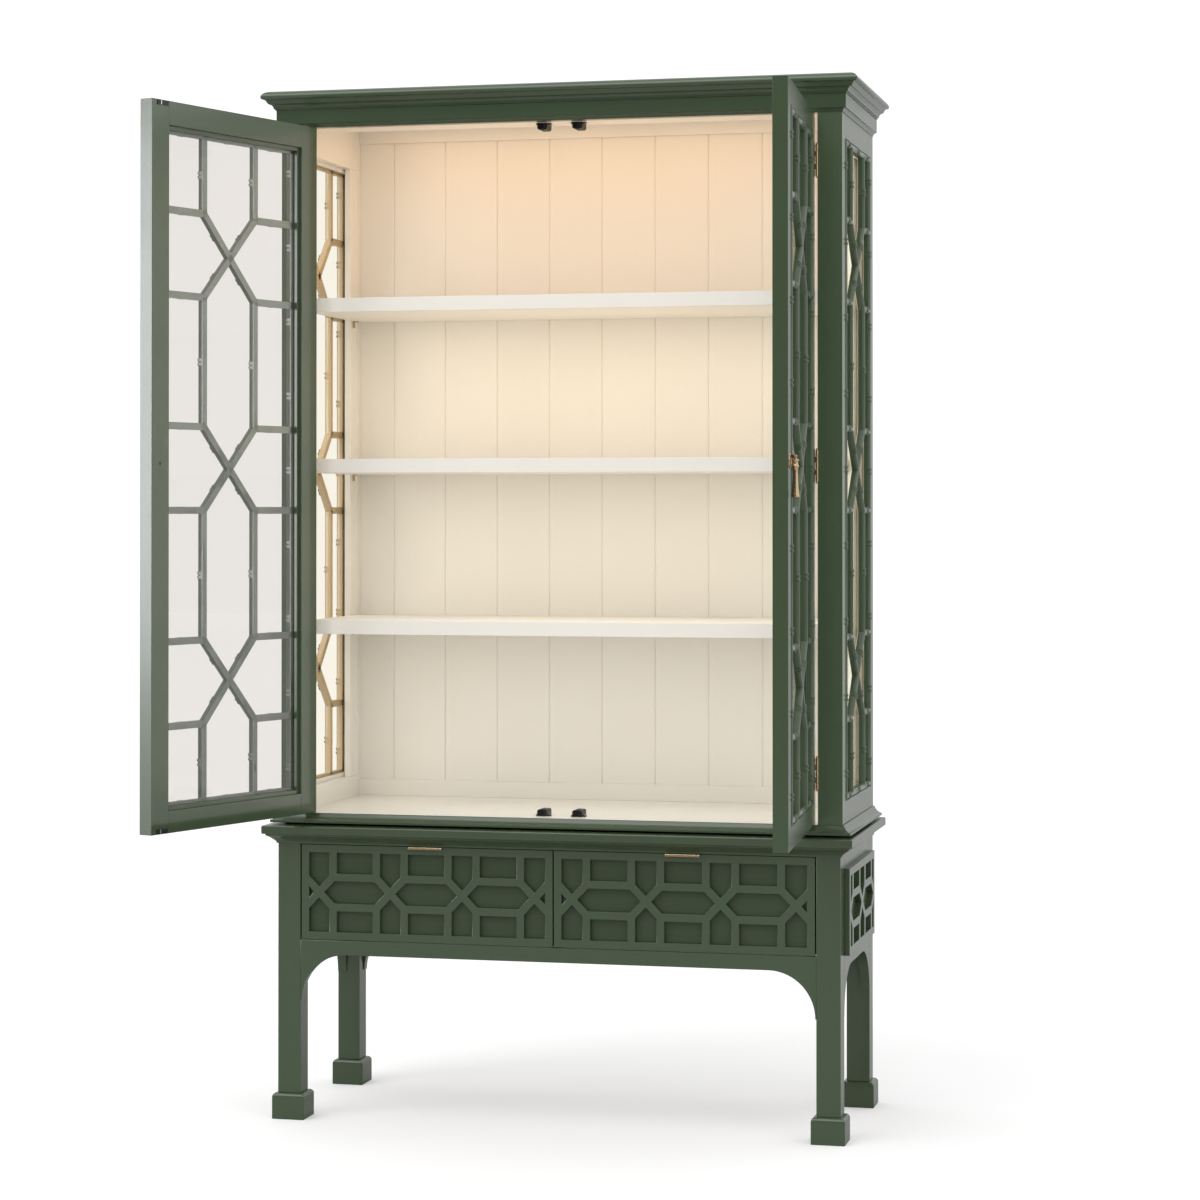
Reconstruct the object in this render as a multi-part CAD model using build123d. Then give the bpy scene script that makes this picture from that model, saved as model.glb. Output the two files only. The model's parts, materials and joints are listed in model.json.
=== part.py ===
"""A two-part glazed book cabinet in the Chinese Chippendale manner, in millimetres.

A low stand on square legs carries two drawers. A tall case stands on it, with a moulded
cornice, glazed sides, three shelves and a pair of inset doors, all with bamboo fretwork.

+Z is up, +X is the cabinet's right as seen from the front and the front faces -Y.
The origin is on the floor, midway between the four legs. The doors are modelled open.
"""
from build123d import *
import math
import os

# ---------------------------------------------------------------- driving dimensions
# Stand
LEG_SPAN_X = 1178.0        # over the outer faces of the legs
LEG_SPAN_Y = 448.0
LEG = 49.0                 # square leg
FOOT = 69.0                # square block foot
FOOT_H = 54.0
FOOT_SHOULDER = 9.0        # rounded shoulder of the block foot
STAND_TOP_Z = 609.0
TOP_BOARD_T = 18.0
TOP_OVERHANG = 27.5
TOP_NOSE_R = 7.5           # its two edges rounded over
BED_MOULD_H = 20.0
APRON_Z = 342.0            # lower edge of the aprons between the brackets
APRON_T = 20.0
BRACKET_R = 95.0           # quarter-round brackets against the legs
BRACKET_LAND = 2.0
DRAWER_RAIL_Z = 372.0      # top of the rail under the drawers

# Drawers
DRAWER_GAP = 1.5           # above and below each front
DRAWER_MEETING = 2.5       # between the two fronts
DRAWER_END_GAP = 2.5
DRAWER_FRET_T = 10.0
DRAWER_PANEL_T = 10.0
DRAWER_DEPTH = 380.0
DRAWER_SIDE_T = 12.0
DRAWER_SIDE_H = 160.0
DRAWER_BOTTOM_T = 6.0
DRAWER_BOTTOM_UP = 8.0     # bottom above the lower edges of the sides
DRAWER_BOX_GAP = (3.0, 12.0)    # beside the partition and inside the legs
DIVIDER_T = 18.0
DIVIDER_BACK = 2.0         # partition and upper rail behind the drawer fronts
RUNNER_T = 12.0
RUNNER_PLAY = 0.4
UPPER_RAIL_T = 20.0

# Brass edge pulls, bent down over the top of each drawer front
PULL_W = 71.0
PULL_T = 1.2
PULL_REACH = 9.0           # lip in front of the drawer face
PULL_LIP = 5.5
PULL_BEND = 3.0            # outer radius

# Flat fretwork of the drawers and of the stand's sides
FRET_BAR = 16.0
FRET_RISE = 31.0           # half the height of the hexagons, between bar centres
CROSS_COLUMN = 60.0        # width of a crossed column, between bar centres
SIDE_CROSS_COLUMN = 72.0
SIDE_BOX_COLUMN = 93.0
SIDE_FRET_Z = (369.0, 543.5)
SIDE_FRET_T = 11.0

# Case
CASE_W = 1180.0
CASE_SETBACK = 22.0        # case front behind the front of the legs
CASE_TOP_Z = 2134.0
TOP_T = 18.0
POST_W = 50.0              # front corner posts, seen from the front
POST_D = 42.0
SIDE_T = 40.0
PLINTH_H = 4.0             # shadow gap between stand and case
PLINTH_INSET = 6.0
FLOOR_Z = 633.5
HEAD_Z = 2058.5            # underside of the header over the doors
HEAD_D = 92.0
SIDE_LIGHT_Z = (678.0, 2010.0)
BACK_BOARD_T = 12.0
BACK_BOARD_W = 118.0
BACK_GROOVE = 2.0
BACK_FACE_Y = 209.0
BACK_RAIL_T = 7.0
BACK_RAIL_Z = (669.0, 2072.0)
LINING_T = 12.0
LINING_W = 45.0

# Mouldings: reach out from the carcase, heights, and how far the coves and noses bow
FILLET = 3.0               # small square steps
BED_REACH = 21.0
BED_COVE = 3.4
BASE_REACH = 18.6
BASE_H = 20.0
BASE_NOSE = 5.0
BASE_SHOULDER = 4.0
BASE_BEVEL = 2.0
BASE_COVE = 2.6
FRIEZE_PROUD = 9.0
FRIEZE_TOP_Z = 2095.0
FRIEZE_BEAD = 1.5
FRIEZE_COVE_H = 7.5
FRIEZE_COVE = 1.4
CORNICE_STEP = 11.0
CORNICE_COVE_W = 8.0
CORNICE_COVE_H = 9.0
CORNICE_COVE = 1.8
CORNICE_NOSE_H = 17.0
CORNICE_NOSE_OUT = 4.0
CORNICE_NOSE_BACK = 1.0
CORNICE_NOSE = 7.0
MITRE_REACH = 50.0         # longer than any moulding stands out

# Shelves
SHELF_PLAY = 0.5           # round the ends and back of each shelf
SHELF_T = 29.0
SHELF_TOPS = {"lower": 1031.5, "middle": 1369.0, "upper": 1706.0}
SHELF_FRONT_Y = -159.0
CLIP_W = 12.0              # shelf clips
CLIP_T = 2.0
CLIP_REACH = 11.0
CLIP_H = 14.0

# Doors
DOOR_W = 537.0
DOOR_T = 29.0
DOOR_Z = (635.0, 2056.5)
STILE = 52.0
HINGE_GAP = 1.5
LEFT_OPEN = 107.5          # how far each door stands open, in degrees
RIGHT_OPEN = 94.0
GLASS_T = 3.0
STOP = 8.0                 # square glazing stops
GLASS_SET_BACK = 12.0      # outer face of the glass behind the frame's face

# Bamboo fretwork of the doors and case sides
CANE_W = 14.0
CANE_BASE = 9.0            # flat back of each cane
CANE_ROUND = 5.5           # rounded front on it
CANE_FACE = 6.8            # flat left along the middle of the rounded front
CANE_NODE_L = 14.0
CANE_NODE_PROUD = 2.6
CANE_NODE_FACE = 9.2
CANE_COLUMN = 165.5        # between the two upright canes, and the side of each crossed square
CANE_PITCH = 422.0         # from one crossed square to the next
EDGE_NODE_PITCH = 153.0

# Brass butt hinges
HINGE_L = 64.0
HINGE_ZS = (735.0, 1350.0, 1962.0)
KNUCKLE_R = 3.0
KNUCKLE_SIDES = 12         # flats on each rolled knuckle
KNUCKLES = 3               # the door has the middle one
KNUCKLE_GAP = 0.4
HINGE_PIN_R = 1.4
PIN_SHORT = 1.0            # pin ends inside the knuckles
PIN_PLAY = 0.05            # running clearance round the pin
LEAF_T = 1.5
LEAF_W = 24.0
LEAF_CLEAR = 0.3           # between a leaf and the end of its mortise
AXIS_PROUD = 3.4           # hinge axis in front of the door face

# Brass drop pulls
DROP_Z = 1360.0            # height of the drop's pivot
DROP_FROM_EDGE = 26.0
DROP_PROUD = 10.5          # drop axis in front of the door face
DROP_PIN_R = 1.5
DROP_PIN_L = 10.0
CHEEK_X = (4.0, 6.5)       # the two cheeks, on each side of the eye
CHEEK_Z = 3.5              # above and below the pin
CHEEK_Y = 3.0              # in front of it
EYE = (6.4, 5.6, 10.0)
EYE_DROP = 2.0             # middle of the eye below the pin
DROP_TURNING = ((-76.0, 5.4), (-73.5, 7.6), (-67.0, 6.5), (-42.0, 4.5), (-17.0, 4.5),
                (-15.0, 6.6), (-13.0, 5.3), (-10.5, 6.9), (-6.0, 4.6))    # below the pin, radius
TURNED_SIDES = 16          # flats round each small turning
ROSETTE_R = 14.0
ROSETTE_T = 3.0
ROSETTE_EDGE = (1.2, 1.5)  # height and width of its bevelled edge
ROSETTE_DROP = 8.0         # middle of the rosette below the pin

# Black magnetic catches
CATCH = (21.0, 38.0, 14.0)
CATCH_EARS = (32.0, 14.0, 2.5)
CATCH_EAR_BACK = 8.0
CATCH_CORNER = 1.5
CATCH_X = 37.0
CATCH_GAP = 0.4            # between a catch and the closed door's strike
STRIKE = (27.0, 1.5, 9.5)
STRIKE_INSET = 1.0

# ---------------------------------------------------------------- derived places
LEG_X = LEG_SPAN_X / 2
LEG_Y = LEG_SPAN_Y / 2
INNER_LEG_X = LEG_X - LEG
INNER_LEG_Y = LEG_Y - LEG
STAND_FRONT = -LEG_Y
REAR = LEG_Y
BOARD_Z = STAND_TOP_Z - TOP_BOARD_T
RAIL_Z = BOARD_Z - BED_MOULD_H
CASE_X = CASE_W / 2
CASE_FRONT = STAND_FRONT + CASE_SETBACK
CASE_Z = STAND_TOP_Z + PLINTH_H
CEILING_Z = CASE_TOP_Z - TOP_T
OPEN_X = CASE_X - POST_W
WALL_X = CASE_X - SIDE_T
LIGHT_Y = (CASE_FRONT + POST_D, REAR - POST_D)
DOOR_BACK = CASE_FRONT + DOOR_T
HINGE_X = OPEN_X - HINGE_GAP / 2
HINGE_Y = CASE_FRONT - AXIS_PROUD
DOOR_X = OPEN_X - HINGE_GAP                # hinge edge of a closed door
GLASS_Y = CASE_FRONT + GLASS_SET_BACK
GLASS_X = CASE_X - GLASS_SET_BACK
LIGHT_CENTRE_Z = sum(SIDE_LIGHT_Z) / 2
MORTISE_Y = (CASE_FRONT, HINGE_Y + KNUCKLE_R + LEAF_W + LEAF_CLEAR)


# ---------------------------------------------------------------- small helpers
def block(x, y, z):
    """A box from (low, high) pairs along each axis."""
    size = [high - low for low, high in (x, y, z)]
    centre = [(low + high) / 2 for low, high in (x, y, z)]
    return Pos(*centre) * Box(*size)


def mirrored(shape):
    return mirror(shape, about=Plane.YZ)


def both(shape):
    """A shape and its mirror image on the other side of the cabinet."""
    return [shape, mirrored(shape)]


def fused(shapes):
    return shapes[0].fuse(*shapes[1:]).clean()


def polygon(points):
    return make_face(Polyline(*points, close=True))


def outline(points, bows):
    """A closed face through the points. An edge listed in bows curves out to its left by that much."""
    edges = []
    for number, (start, end) in enumerate(zip(points, points[1:] + points[:1])):
        if number in bows:
            (x0, y0), (x1, y1) = start, end
            share = bows[number] / math.hypot(x1 - x0, y1 - y0)
            middle = ((x0 + x1) / 2 - share * (y1 - y0), (y0 + y1) / 2 + share * (x1 - x0))
            edges.append(ThreePointArc(start, middle, end))
        else:
            edges.append(Line(start, end))
    return make_face(edges)


def mitred_runs(profile, half_width, front, rear):
    """Front and side runs of a moulding, mitred at the front corners.

    The profile is a face whose X is the distance out from the carcase and whose Y is height.
    """
    tall, reach = CASE_TOP_Z + 1, MITRE_REACH
    along_x = Plane(origin=(-half_width - reach, front, 0), x_dir=(0, -1, 0), z_dir=(-1, 0, 0))
    front_run = extrude(along_x.location * profile, 2 * (half_width + reach), dir=(1, 0, 0))
    front_plan = polygon([(-half_width - reach, front - reach), (half_width + reach, front - reach),
                          (half_width, front), (-half_width, front)])
    front_run = front_run & extrude(front_plan, tall, dir=(0, 0, 1))
    along_y = Plane(origin=(half_width, rear, 0), x_dir=(1, 0, 0), z_dir=(0, -1, 0))
    side_run = extrude(along_y.location * profile, rear - front + reach, dir=(0, -1, 0))
    side_plan = polygon([(half_width, front), (half_width + reach, front - reach),
                         (half_width + reach, rear), (half_width, rear)])
    side_run = side_run & extrude(side_plan, tall, dir=(0, 0, 1))
    return [front_run] + both(side_run)


def turned(stations):
    """A small turning up the Z axis through (height, radius) stations, cut with flats all round."""
    edge = [(radius, z) for z, radius in stations]
    silhouette = polygon(edge + [(-radius, z) for radius, z in reversed(edge)])
    slab = extrude(Plane.XZ.location * silhouette, max(radius for _, radius in stations) + 1, both=True)
    solid = slab
    for number in range(1, TURNED_SIDES // 2):
        solid = solid & Rot(0, 0, number * 360 / TURNED_SIDES) * slab
    return solid


# ---------------------------------------------------------------- fretwork
def flat_fret(width, height, columns, cross_column, thickness):
    """A framed fret of long hexagons between crossed columns.

    columns holds (kind, width) from left to right between the frame's bar centres. A "half"
    column is the half of a crossed column that meets the frame.
    """
    edge_y = (height - FRET_BAR) / 2
    left = (FRET_BAR - width) / 2
    segments = []
    for number, (kind, column) in enumerate(columns):
        right = left + column
        for rise in (FRET_RISE, -FRET_RISE):
            if kind == "box":
                segments.append(((left, rise), (right, rise)))
            elif kind == "cross":
                segments.append(((left, rise), (right, -rise)))
            else:
                start, way = (right, -1) if number == 0 else (left, 1)
                segments.append(((start, rise), (start + way * cross_column / 2, 0)))
            if number:
                segments.append(((left, rise), (left, math.copysign(edge_y, rise))))
        left = right
    frame = Rectangle(width, height) - Rectangle(width - 2 * FRET_BAR, height - 2 * FRET_BAR)
    bars = []
    for (x0, y0), (x1, y1) in segments:
        place = Pos((x0 + x1) / 2, (y0 + y1) / 2) * Rot(0, 0, math.degrees(math.atan2(y1 - y0, x1 - x0)))
        bars.append(place * Rectangle(math.hypot(x1 - x0, y1 - y0), FRET_BAR))
    return extrude(frame.fuse(*bars).clean(), thickness, dir=(0, 0, 1))


def cane_section():
    half, face, top = CANE_W / 2, CANE_FACE / 2, CANE_BASE + CANE_ROUND
    return polygon([(-half, 0), (half, 0), (half, CANE_BASE), (face, top), (-face, top), (-half, CANE_BASE)])


def node_section():
    """The saddle that a node raises over the rounded front of a cane."""
    half, face, top = CANE_W / 2, CANE_NODE_FACE / 2, CANE_BASE + CANE_ROUND + CANE_NODE_PROUD
    return polygon([(-half, CANE_BASE), (half, CANE_BASE), (face, top), (-face, top)])


def cane(start, end, node_places=()):
    """One length of split bamboo lying on the XY plane, with a raised node at each place along it."""
    (x0, y0), (x1, y1) = start, end
    length = math.hypot(x1 - x0, y1 - y0)
    solids = [extrude(Plane.YZ.location * cane_section(), length, dir=(1, 0, 0))]
    for place in node_places:
        node = extrude(Plane.YZ.location * node_section(), CANE_NODE_L, dir=(1, 0, 0))
        solids.append(Pos(place * length - CANE_NODE_L / 2) * node)
    turn = Rot(0, 0, math.degrees(math.atan2(y1 - y0, x1 - x0)))
    return [Pos(x0, y0) * turn * solid for solid in solids]


def cane_fret(width, height):
    """Bamboo lattice: two uprights that cross over in three squares, tied to a border of cane."""
    edge_x, edge_y, half = (width - CANE_W) / 2, (height - CANE_W) / 2, CANE_COLUMN / 2
    crossings = (-CANE_PITCH, 0, CANE_PITCH)
    levels = [-edge_y] + [c + side * half for c in crossings for side in (-1, 1)] + [edge_y]
    canes = []
    for x in (-edge_x, edge_x):
        places = [0.5 + k * EDGE_NODE_PITCH / (2 * edge_y) for k in range(-4, 5)]
        canes += cane((x, -edge_y - CANE_W / 2), (x, edge_y + CANE_W / 2), places)
    for y in (-edge_y, edge_y):
        canes += cane((-edge_x, y), (edge_x, y))
    for x in (-half, half):
        for low, high in zip(levels[::2], levels[1::2]):
            canes += cane((x, low), (x, high), (0.5,))
        for level in levels[1:-1]:
            canes += cane((x, level), (math.copysign(edge_x, x), level))
    for c in crossings:
        canes += cane((-half, c - half), (half, c + half), (0.25, 0.75))
        canes += cane((-half, c + half), (half, c - half), (0.25, 0.75))
    return fused(canes) & Box(width, height, 3 * CANE_W)


# ---------------------------------------------------------------- stand
def leg(way_x, way_y):
    x = sorted((way_x * INNER_LEG_X, way_x * LEG_X))
    y = sorted((way_y * INNER_LEG_Y, way_y * LEG_Y))
    return block(x, y, (FOOT_H, BOARD_Z))


def foot(way_x, way_y):
    """Block foot, wider than its leg all round, with a rounded shoulder."""
    centre_x, centre_y = way_x * (LEG_X - LEG / 2), way_y * (LEG_Y - LEG / 2)
    solid = Pos(centre_x, centre_y, FOOT_H / 2) * Box(FOOT, FOOT, FOOT_H)
    return fillet(solid.faces().sort_by(Axis.Z)[-1].edges(), FOOT_SHOULDER)


def apron_outline(half_width, top):
    """Apron with a quarter-round bracket at each end, around X = 0."""
    spring = APRON_Z - BRACKET_R
    inner = half_width - BRACKET_LAND
    arc_x = inner - BRACKET_R
    turn = BRACKET_R * math.sqrt(0.5)
    edges = []
    for way in (1, -1):
        edges += [
            Line((way * half_width, top), (way * half_width, spring)),
            Line((way * half_width, spring), (way * inner, spring)),
            ThreePointArc((way * inner, spring), (way * (arc_x + turn), spring + turn),
                          (way * arc_x, APRON_Z)),
        ]
    edges.append(Line((arc_x, APRON_Z), (-arc_x, APRON_Z)))
    edges.append(Line((half_width, top), (-half_width, top)))
    return make_face(edges)


def aprons():
    front = extrude(Plane.XZ.location * apron_outline(INNER_LEG_X, DRAWER_RAIL_Z), APRON_T, dir=(0, 1, 0))
    rear = extrude(Plane.XZ.location * apron_outline(INNER_LEG_X, BOARD_Z), APRON_T, dir=(0, -1, 0))
    side = extrude(Plane.YZ.location * apron_outline(INNER_LEG_Y, BOARD_Z), APRON_T, dir=(-1, 0, 0))
    right = Pos(LEG_X, 0, 0) * side
    return {
        "front_apron": [Pos(0, STAND_FRONT, 0) * front],
        "rear_apron": [Pos(0, REAR, 0) * rear],
        "side_aprons": both(right),
    }


def stand_frets():
    half = (2 * INNER_LEG_Y - FRET_BAR - SIDE_CROSS_COLUMN - 2 * SIDE_BOX_COLUMN) / 2
    columns = [("half", half), ("box", SIDE_BOX_COLUMN), ("cross", SIDE_CROSS_COLUMN),
               ("box", SIDE_BOX_COLUMN), ("half", half)]
    low, high = SIDE_FRET_Z
    fret = flat_fret(2 * INNER_LEG_Y, high - low, columns, SIDE_CROSS_COLUMN, SIDE_FRET_T)
    outward = Plane(origin=(LEG_X, 0, (low + high) / 2), x_dir=(0, 1, 0), z_dir=(1, 0, 0))
    return both(outward.location * fret)


def drawer_rails():
    """Rail over the drawers and the upright partition between them."""
    rail_y = STAND_FRONT + DIVIDER_BACK
    rail = block((-INNER_LEG_X, INNER_LEG_X), (rail_y, rail_y + UPPER_RAIL_T), (RAIL_Z, BOARD_Z))
    back = DRAWER_PANEL_T + DRAWER_FRET_T + DIVIDER_BACK
    partition = block((-DIVIDER_T / 2, DIVIDER_T / 2), (STAND_FRONT + back, REAR - APRON_T),
                      (DRAWER_RAIL_Z, RAIL_Z))
    return [rail, partition]


def drawer_runners():
    wall = LEG_X - APRON_T
    low, high = DRAWER_RAIL_Z, DRAWER_RAIL_Z + RUNNER_T
    outer_x, inner_x = box_sides_x()
    outer = block((outer_x[0], wall), (-INNER_LEG_Y, INNER_LEG_Y), (low, high))
    inner = block((DIVIDER_T / 2, inner_x[1]), (-INNER_LEG_Y, REAR - APRON_T), (low, high))
    return both(outer) + both(inner)


def bed_moulding():
    """Cove under the stand's top, on the front and sides."""
    low, high = RAIL_Z, BOARD_Z
    profile = outline([(0, low), (FILLET, low), (FILLET, low + FILLET), (BED_REACH, high - FILLET),
                       (BED_REACH, high), (0, high)], {2: BED_COVE})
    return mitred_runs(profile, LEG_X, STAND_FRONT, REAR)


def stand_top():
    """Top board with a rounded nose on the front and sides and a square rear edge."""
    half = LEG_X + TOP_OVERHANG
    board = block((-half, half), (STAND_FRONT - TOP_OVERHANG, REAR), (BOARD_Z, STAND_TOP_Z))
    fixed = board.faces().sort_by(Axis.Y)[-1].edges() + board.edges().filter_by(Axis.Z)
    nose = [edge for edge in board.edges() if edge not in fixed]
    return fillet(nose, TOP_NOSE_R)


# ---------------------------------------------------------------- drawers
def drawer_x():
    """Low and high X of the right drawer's front."""
    return DRAWER_MEETING / 2, INNER_LEG_X - DRAWER_END_GAP


def box_sides_x():
    """X ranges of the outer and inner sides of the right drawer's box."""
    outer = INNER_LEG_X - DRAWER_BOX_GAP[1]
    inner = DIVIDER_T / 2 + DRAWER_BOX_GAP[0]
    return (outer - DRAWER_SIDE_T, outer), (inner, inner + DRAWER_SIDE_T)


def drawer_parts():
    """The right drawer, closed."""
    low_x, high_x = drawer_x()
    low_z, high_z = DRAWER_RAIL_Z + DRAWER_GAP, RAIL_Z - DRAWER_GAP
    panel_y = STAND_FRONT + DRAWER_FRET_T
    back_y = panel_y + DRAWER_PANEL_T
    width = high_x - low_x
    box_column = (width - FRET_BAR - 4 * CROSS_COLUMN) / 3
    columns = [("cross", CROSS_COLUMN)] + 3 * [("box", box_column), ("cross", CROSS_COLUMN)]
    fret = flat_fret(width, high_z - low_z, columns, CROSS_COLUMN, DRAWER_FRET_T)
    centre = ((low_x + high_x) / 2, panel_y, (low_z + high_z) / 2)
    front = block((low_x, high_x), (panel_y, back_y), (low_z, high_z))

    outer_x, inner_x = box_sides_x()
    box_z = DRAWER_RAIL_Z + RUNNER_T + RUNNER_PLAY
    bottom_z = box_z + DRAWER_BOTTOM_UP
    sides = [block(x, (back_y, back_y + DRAWER_DEPTH), (box_z, box_z + DRAWER_SIDE_H))
             for x in (outer_x, inner_x)]
    inside_x = (inner_x[1], outer_x[0])
    back = block(inside_x, (back_y + DRAWER_DEPTH - DRAWER_SIDE_T, back_y + DRAWER_DEPTH),
                 (box_z, box_z + DRAWER_SIDE_H))
    bottom = block(inside_x, (back_y, back_y + DRAWER_DEPTH - DRAWER_SIDE_T),
                   (bottom_z, bottom_z + DRAWER_BOTTOM_T))

    tip, high = STAND_FRONT - PULL_REACH, high_z + PULL_T
    bend_y, bend_z, foot_z = tip + PULL_BEND, high - PULL_BEND, high - PULL_LIP
    bow = PULL_BEND * (1 - math.sqrt(0.5))
    inner_bow = (PULL_BEND - PULL_T) * (1 - math.sqrt(0.5))
    pull_profile = outline([(panel_y, high_z), (panel_y, high), (bend_y, high), (tip, bend_z), (tip, foot_z),
                            (tip + PULL_T, foot_z), (tip + PULL_T, bend_z), (bend_y, high_z)],
                           {2: -bow, 6: inner_bow})
    pull = extrude(Plane.YZ.location * pull_profile, PULL_W / 2, both=True)
    facing_front = Plane(origin=centre, x_dir=(1, 0, 0), z_dir=(0, -1, 0))
    return {
        "drawer_front": [front],
        "drawer_fret": [facing_front.location * fret],
        "drawer_box": sides + [back, bottom],
        "drawer_pull": [Pos(centre[0], 0, 0) * pull],
    }


# ---------------------------------------------------------------- case
def corner_posts():
    """Four posts, with three hinge mortises in each front one."""
    front = block((OPEN_X, CASE_X), (CASE_FRONT, LIGHT_Y[0]), (CASE_Z, CEILING_Z))
    rear = block((WALL_X, CASE_X), (LIGHT_Y[1], REAR), (CASE_Z, CEILING_Z))
    for z in HINGE_ZS:
        front -= block((OPEN_X, OPEN_X + LEAF_T), MORTISE_Y, (z - HINGE_L / 2, z + HINGE_L / 2))
    return both(front) + both(rear)


def side_rails():
    low, high = SIDE_LIGHT_Z
    rails = [block((WALL_X, CASE_X), LIGHT_Y, z) for z in ((CASE_Z, low), (high, CEILING_Z))]
    return rails + [mirrored(rail) for rail in rails]


def side_linings():
    """Inner stiles beside the side lights, which carry the shelf pins."""
    x = (WALL_X, WALL_X + LINING_T)
    front, rear = LIGHT_Y
    strips = [block(x, y, SIDE_LIGHT_Z) for y in ((front, front + LINING_W), (rear - LINING_W, rear))]
    return strips + [mirrored(strip) for strip in strips]


def case_floor():
    """Floor board, flush with the case front between the posts, on a recessed plinth."""
    top = block((-WALL_X, WALL_X), (LIGHT_Y[0], BACK_FACE_Y), (CASE_Z, FLOOR_Z))
    tongue = block((-OPEN_X, OPEN_X), (CASE_FRONT, LIGHT_Y[0]), (CASE_Z, FLOOR_Z))
    plinth = block((PLINTH_INSET - CASE_X, CASE_X - PLINTH_INSET), (CASE_FRONT + PLINTH_INSET, REAR),
                   (STAND_TOP_Z, CASE_Z))
    return [top.fuse(tongue).clean(), plinth]


def header():
    return block((-OPEN_X, OPEN_X), (CASE_FRONT, CASE_FRONT + HEAD_D), (HEAD_Z, CEILING_Z))


def top_board():
    return block((-CASE_X, CASE_X), (CASE_FRONT, REAR), (CEILING_Z, CASE_TOP_Z))


def base_moulding():
    low, high = CASE_Z, CASE_Z + BASE_H
    profile = outline([(0, low), (BASE_REACH, low), (BASE_REACH, low + BASE_NOSE),
                       (BASE_SHOULDER, high - BASE_BEVEL), (BASE_SHOULDER - BASE_BEVEL, high), (0, high)],
                      {2: BASE_COVE})
    return mitred_runs(profile, CASE_X, CASE_FRONT, REAR)


def frieze():
    """Plain band over the doors and sides, with a small cove along its lower edge."""
    cove, bead = HEAD_Z + FRIEZE_COVE_H, FRIEZE_BEAD
    profile = outline([(0, HEAD_Z), (bead, HEAD_Z), (bead, HEAD_Z + bead), (FRIEZE_PROUD - bead, cove),
                       (FRIEZE_PROUD, cove), (FRIEZE_PROUD, FRIEZE_TOP_Z), (0, FRIEZE_TOP_Z)],
                      {2: FRIEZE_COVE})
    return mitred_runs(profile, CASE_X, CASE_FRONT, REAR)


def cornice():
    """Fine steps and a cove under a flat band and a thick rounded nose."""
    low, top = FRIEZE_TOP_Z, CASE_TOP_Z
    nose_low = top - CORNICE_NOSE_H
    cove_x, cove_z = CORNICE_STEP + FILLET, low + 2 * FILLET
    band_x = cove_x + CORNICE_COVE_W + FILLET
    nose_x = band_x + CORNICE_NOSE_OUT
    profile = outline([(0, low), (CORNICE_STEP, low), (CORNICE_STEP, low + FILLET), (cove_x, low + FILLET),
                       (cove_x, cove_z), (cove_x + CORNICE_COVE_W, cove_z + CORNICE_COVE_H),
                       (band_x, cove_z + CORNICE_COVE_H), (band_x, nose_low), (nose_x, nose_low),
                       (nose_x - CORNICE_NOSE_BACK, top), (0, top)], {4: CORNICE_COVE, 8: -CORNICE_NOSE})
    return mitred_runs(profile, CASE_X, CASE_FRONT, REAR)


def back_boards():
    """Tongued boards with a V groove at each joint, centred on the case."""
    joints = [k * BACK_BOARD_W for k in range(-4, 5)]
    edges = [-WALL_X] + joints + [WALL_X]
    y = (BACK_FACE_Y, BACK_FACE_Y + BACK_BOARD_T)
    boards = []
    for left, right in zip(edges, edges[1:]):
        board = block((left, right), y, (CASE_Z, CEILING_Z))
        face_edges = board.faces().sort_by(Axis.Y)[0].edges().filter_by(Axis.Z).sort_by(Axis.X)
        shaped = [edge for edge, x in zip(face_edges, (left, right)) if abs(x) < WALL_X]
        boards.append(chamfer(shaped, BACK_GROOVE))
    return boards


def back_rails():
    low, high = BACK_RAIL_Z
    y = (BACK_FACE_Y - BACK_RAIL_T, BACK_FACE_Y)
    return [block((-WALL_X, WALL_X), y, z) for z in ((FLOOR_Z, low), (high, CEILING_Z))]


def light_fret(width):
    low, high = SIDE_LIGHT_Z
    return cane_fret(width, high - low)


def side_frets():
    fret = light_fret(LIGHT_Y[1] - LIGHT_Y[0])
    outward = Plane(origin=(GLASS_X, sum(LIGHT_Y) / 2, LIGHT_CENTRE_Z), x_dir=(0, 1, 0), z_dir=(1, 0, 0))
    right = outward.location * fret
    return {"side_fret_right": [right], "side_fret_left": [mirrored(right)]}


def side_glass():
    pane = block((GLASS_X - GLASS_T, GLASS_X), LIGHT_Y, SIDE_LIGHT_Z)
    return both(pane)


def side_stops():
    x = (GLASS_X - GLASS_T - STOP, GLASS_X - GLASS_T)
    (front, rear), (low, high) = LIGHT_Y, SIDE_LIGHT_Z
    strips = [block(x, y, (low, high)) for y in ((front, front + STOP), (rear - STOP, rear))]
    strips += [block(x, (front + STOP, rear - STOP), z) for z in ((low, low + STOP), (high - STOP, high))]
    return strips + [mirrored(strip) for strip in strips]


def shelf(top):
    half = WALL_X - SHELF_PLAY
    return block((-half, half), (SHELF_FRONT_Y, BACK_FACE_Y - SHELF_PLAY), (top - SHELF_T, top))


def shelf_clips():
    """Brass angle clips, screwed to the linings, that the shelves rest on."""
    tip_x, inner_x = WALL_X - CLIP_REACH, WALL_X - CLIP_T
    profile = polygon([(WALL_X, -CLIP_H), (WALL_X, 0), (tip_x, 0), (tip_x, -CLIP_T),
                       (inner_x, -CLIP_T), (inner_x, -CLIP_H)])
    clip = extrude(Plane.XZ.location * profile, CLIP_W / 2, both=True)
    clips = []
    for top in SHELF_TOPS.values():
        for y in (LIGHT_Y[0] + LINING_W / 2, LIGHT_Y[1] - LINING_W / 2):
            clips += both(Pos(0, y, top - SHELF_T) * clip)
    return clips


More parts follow.
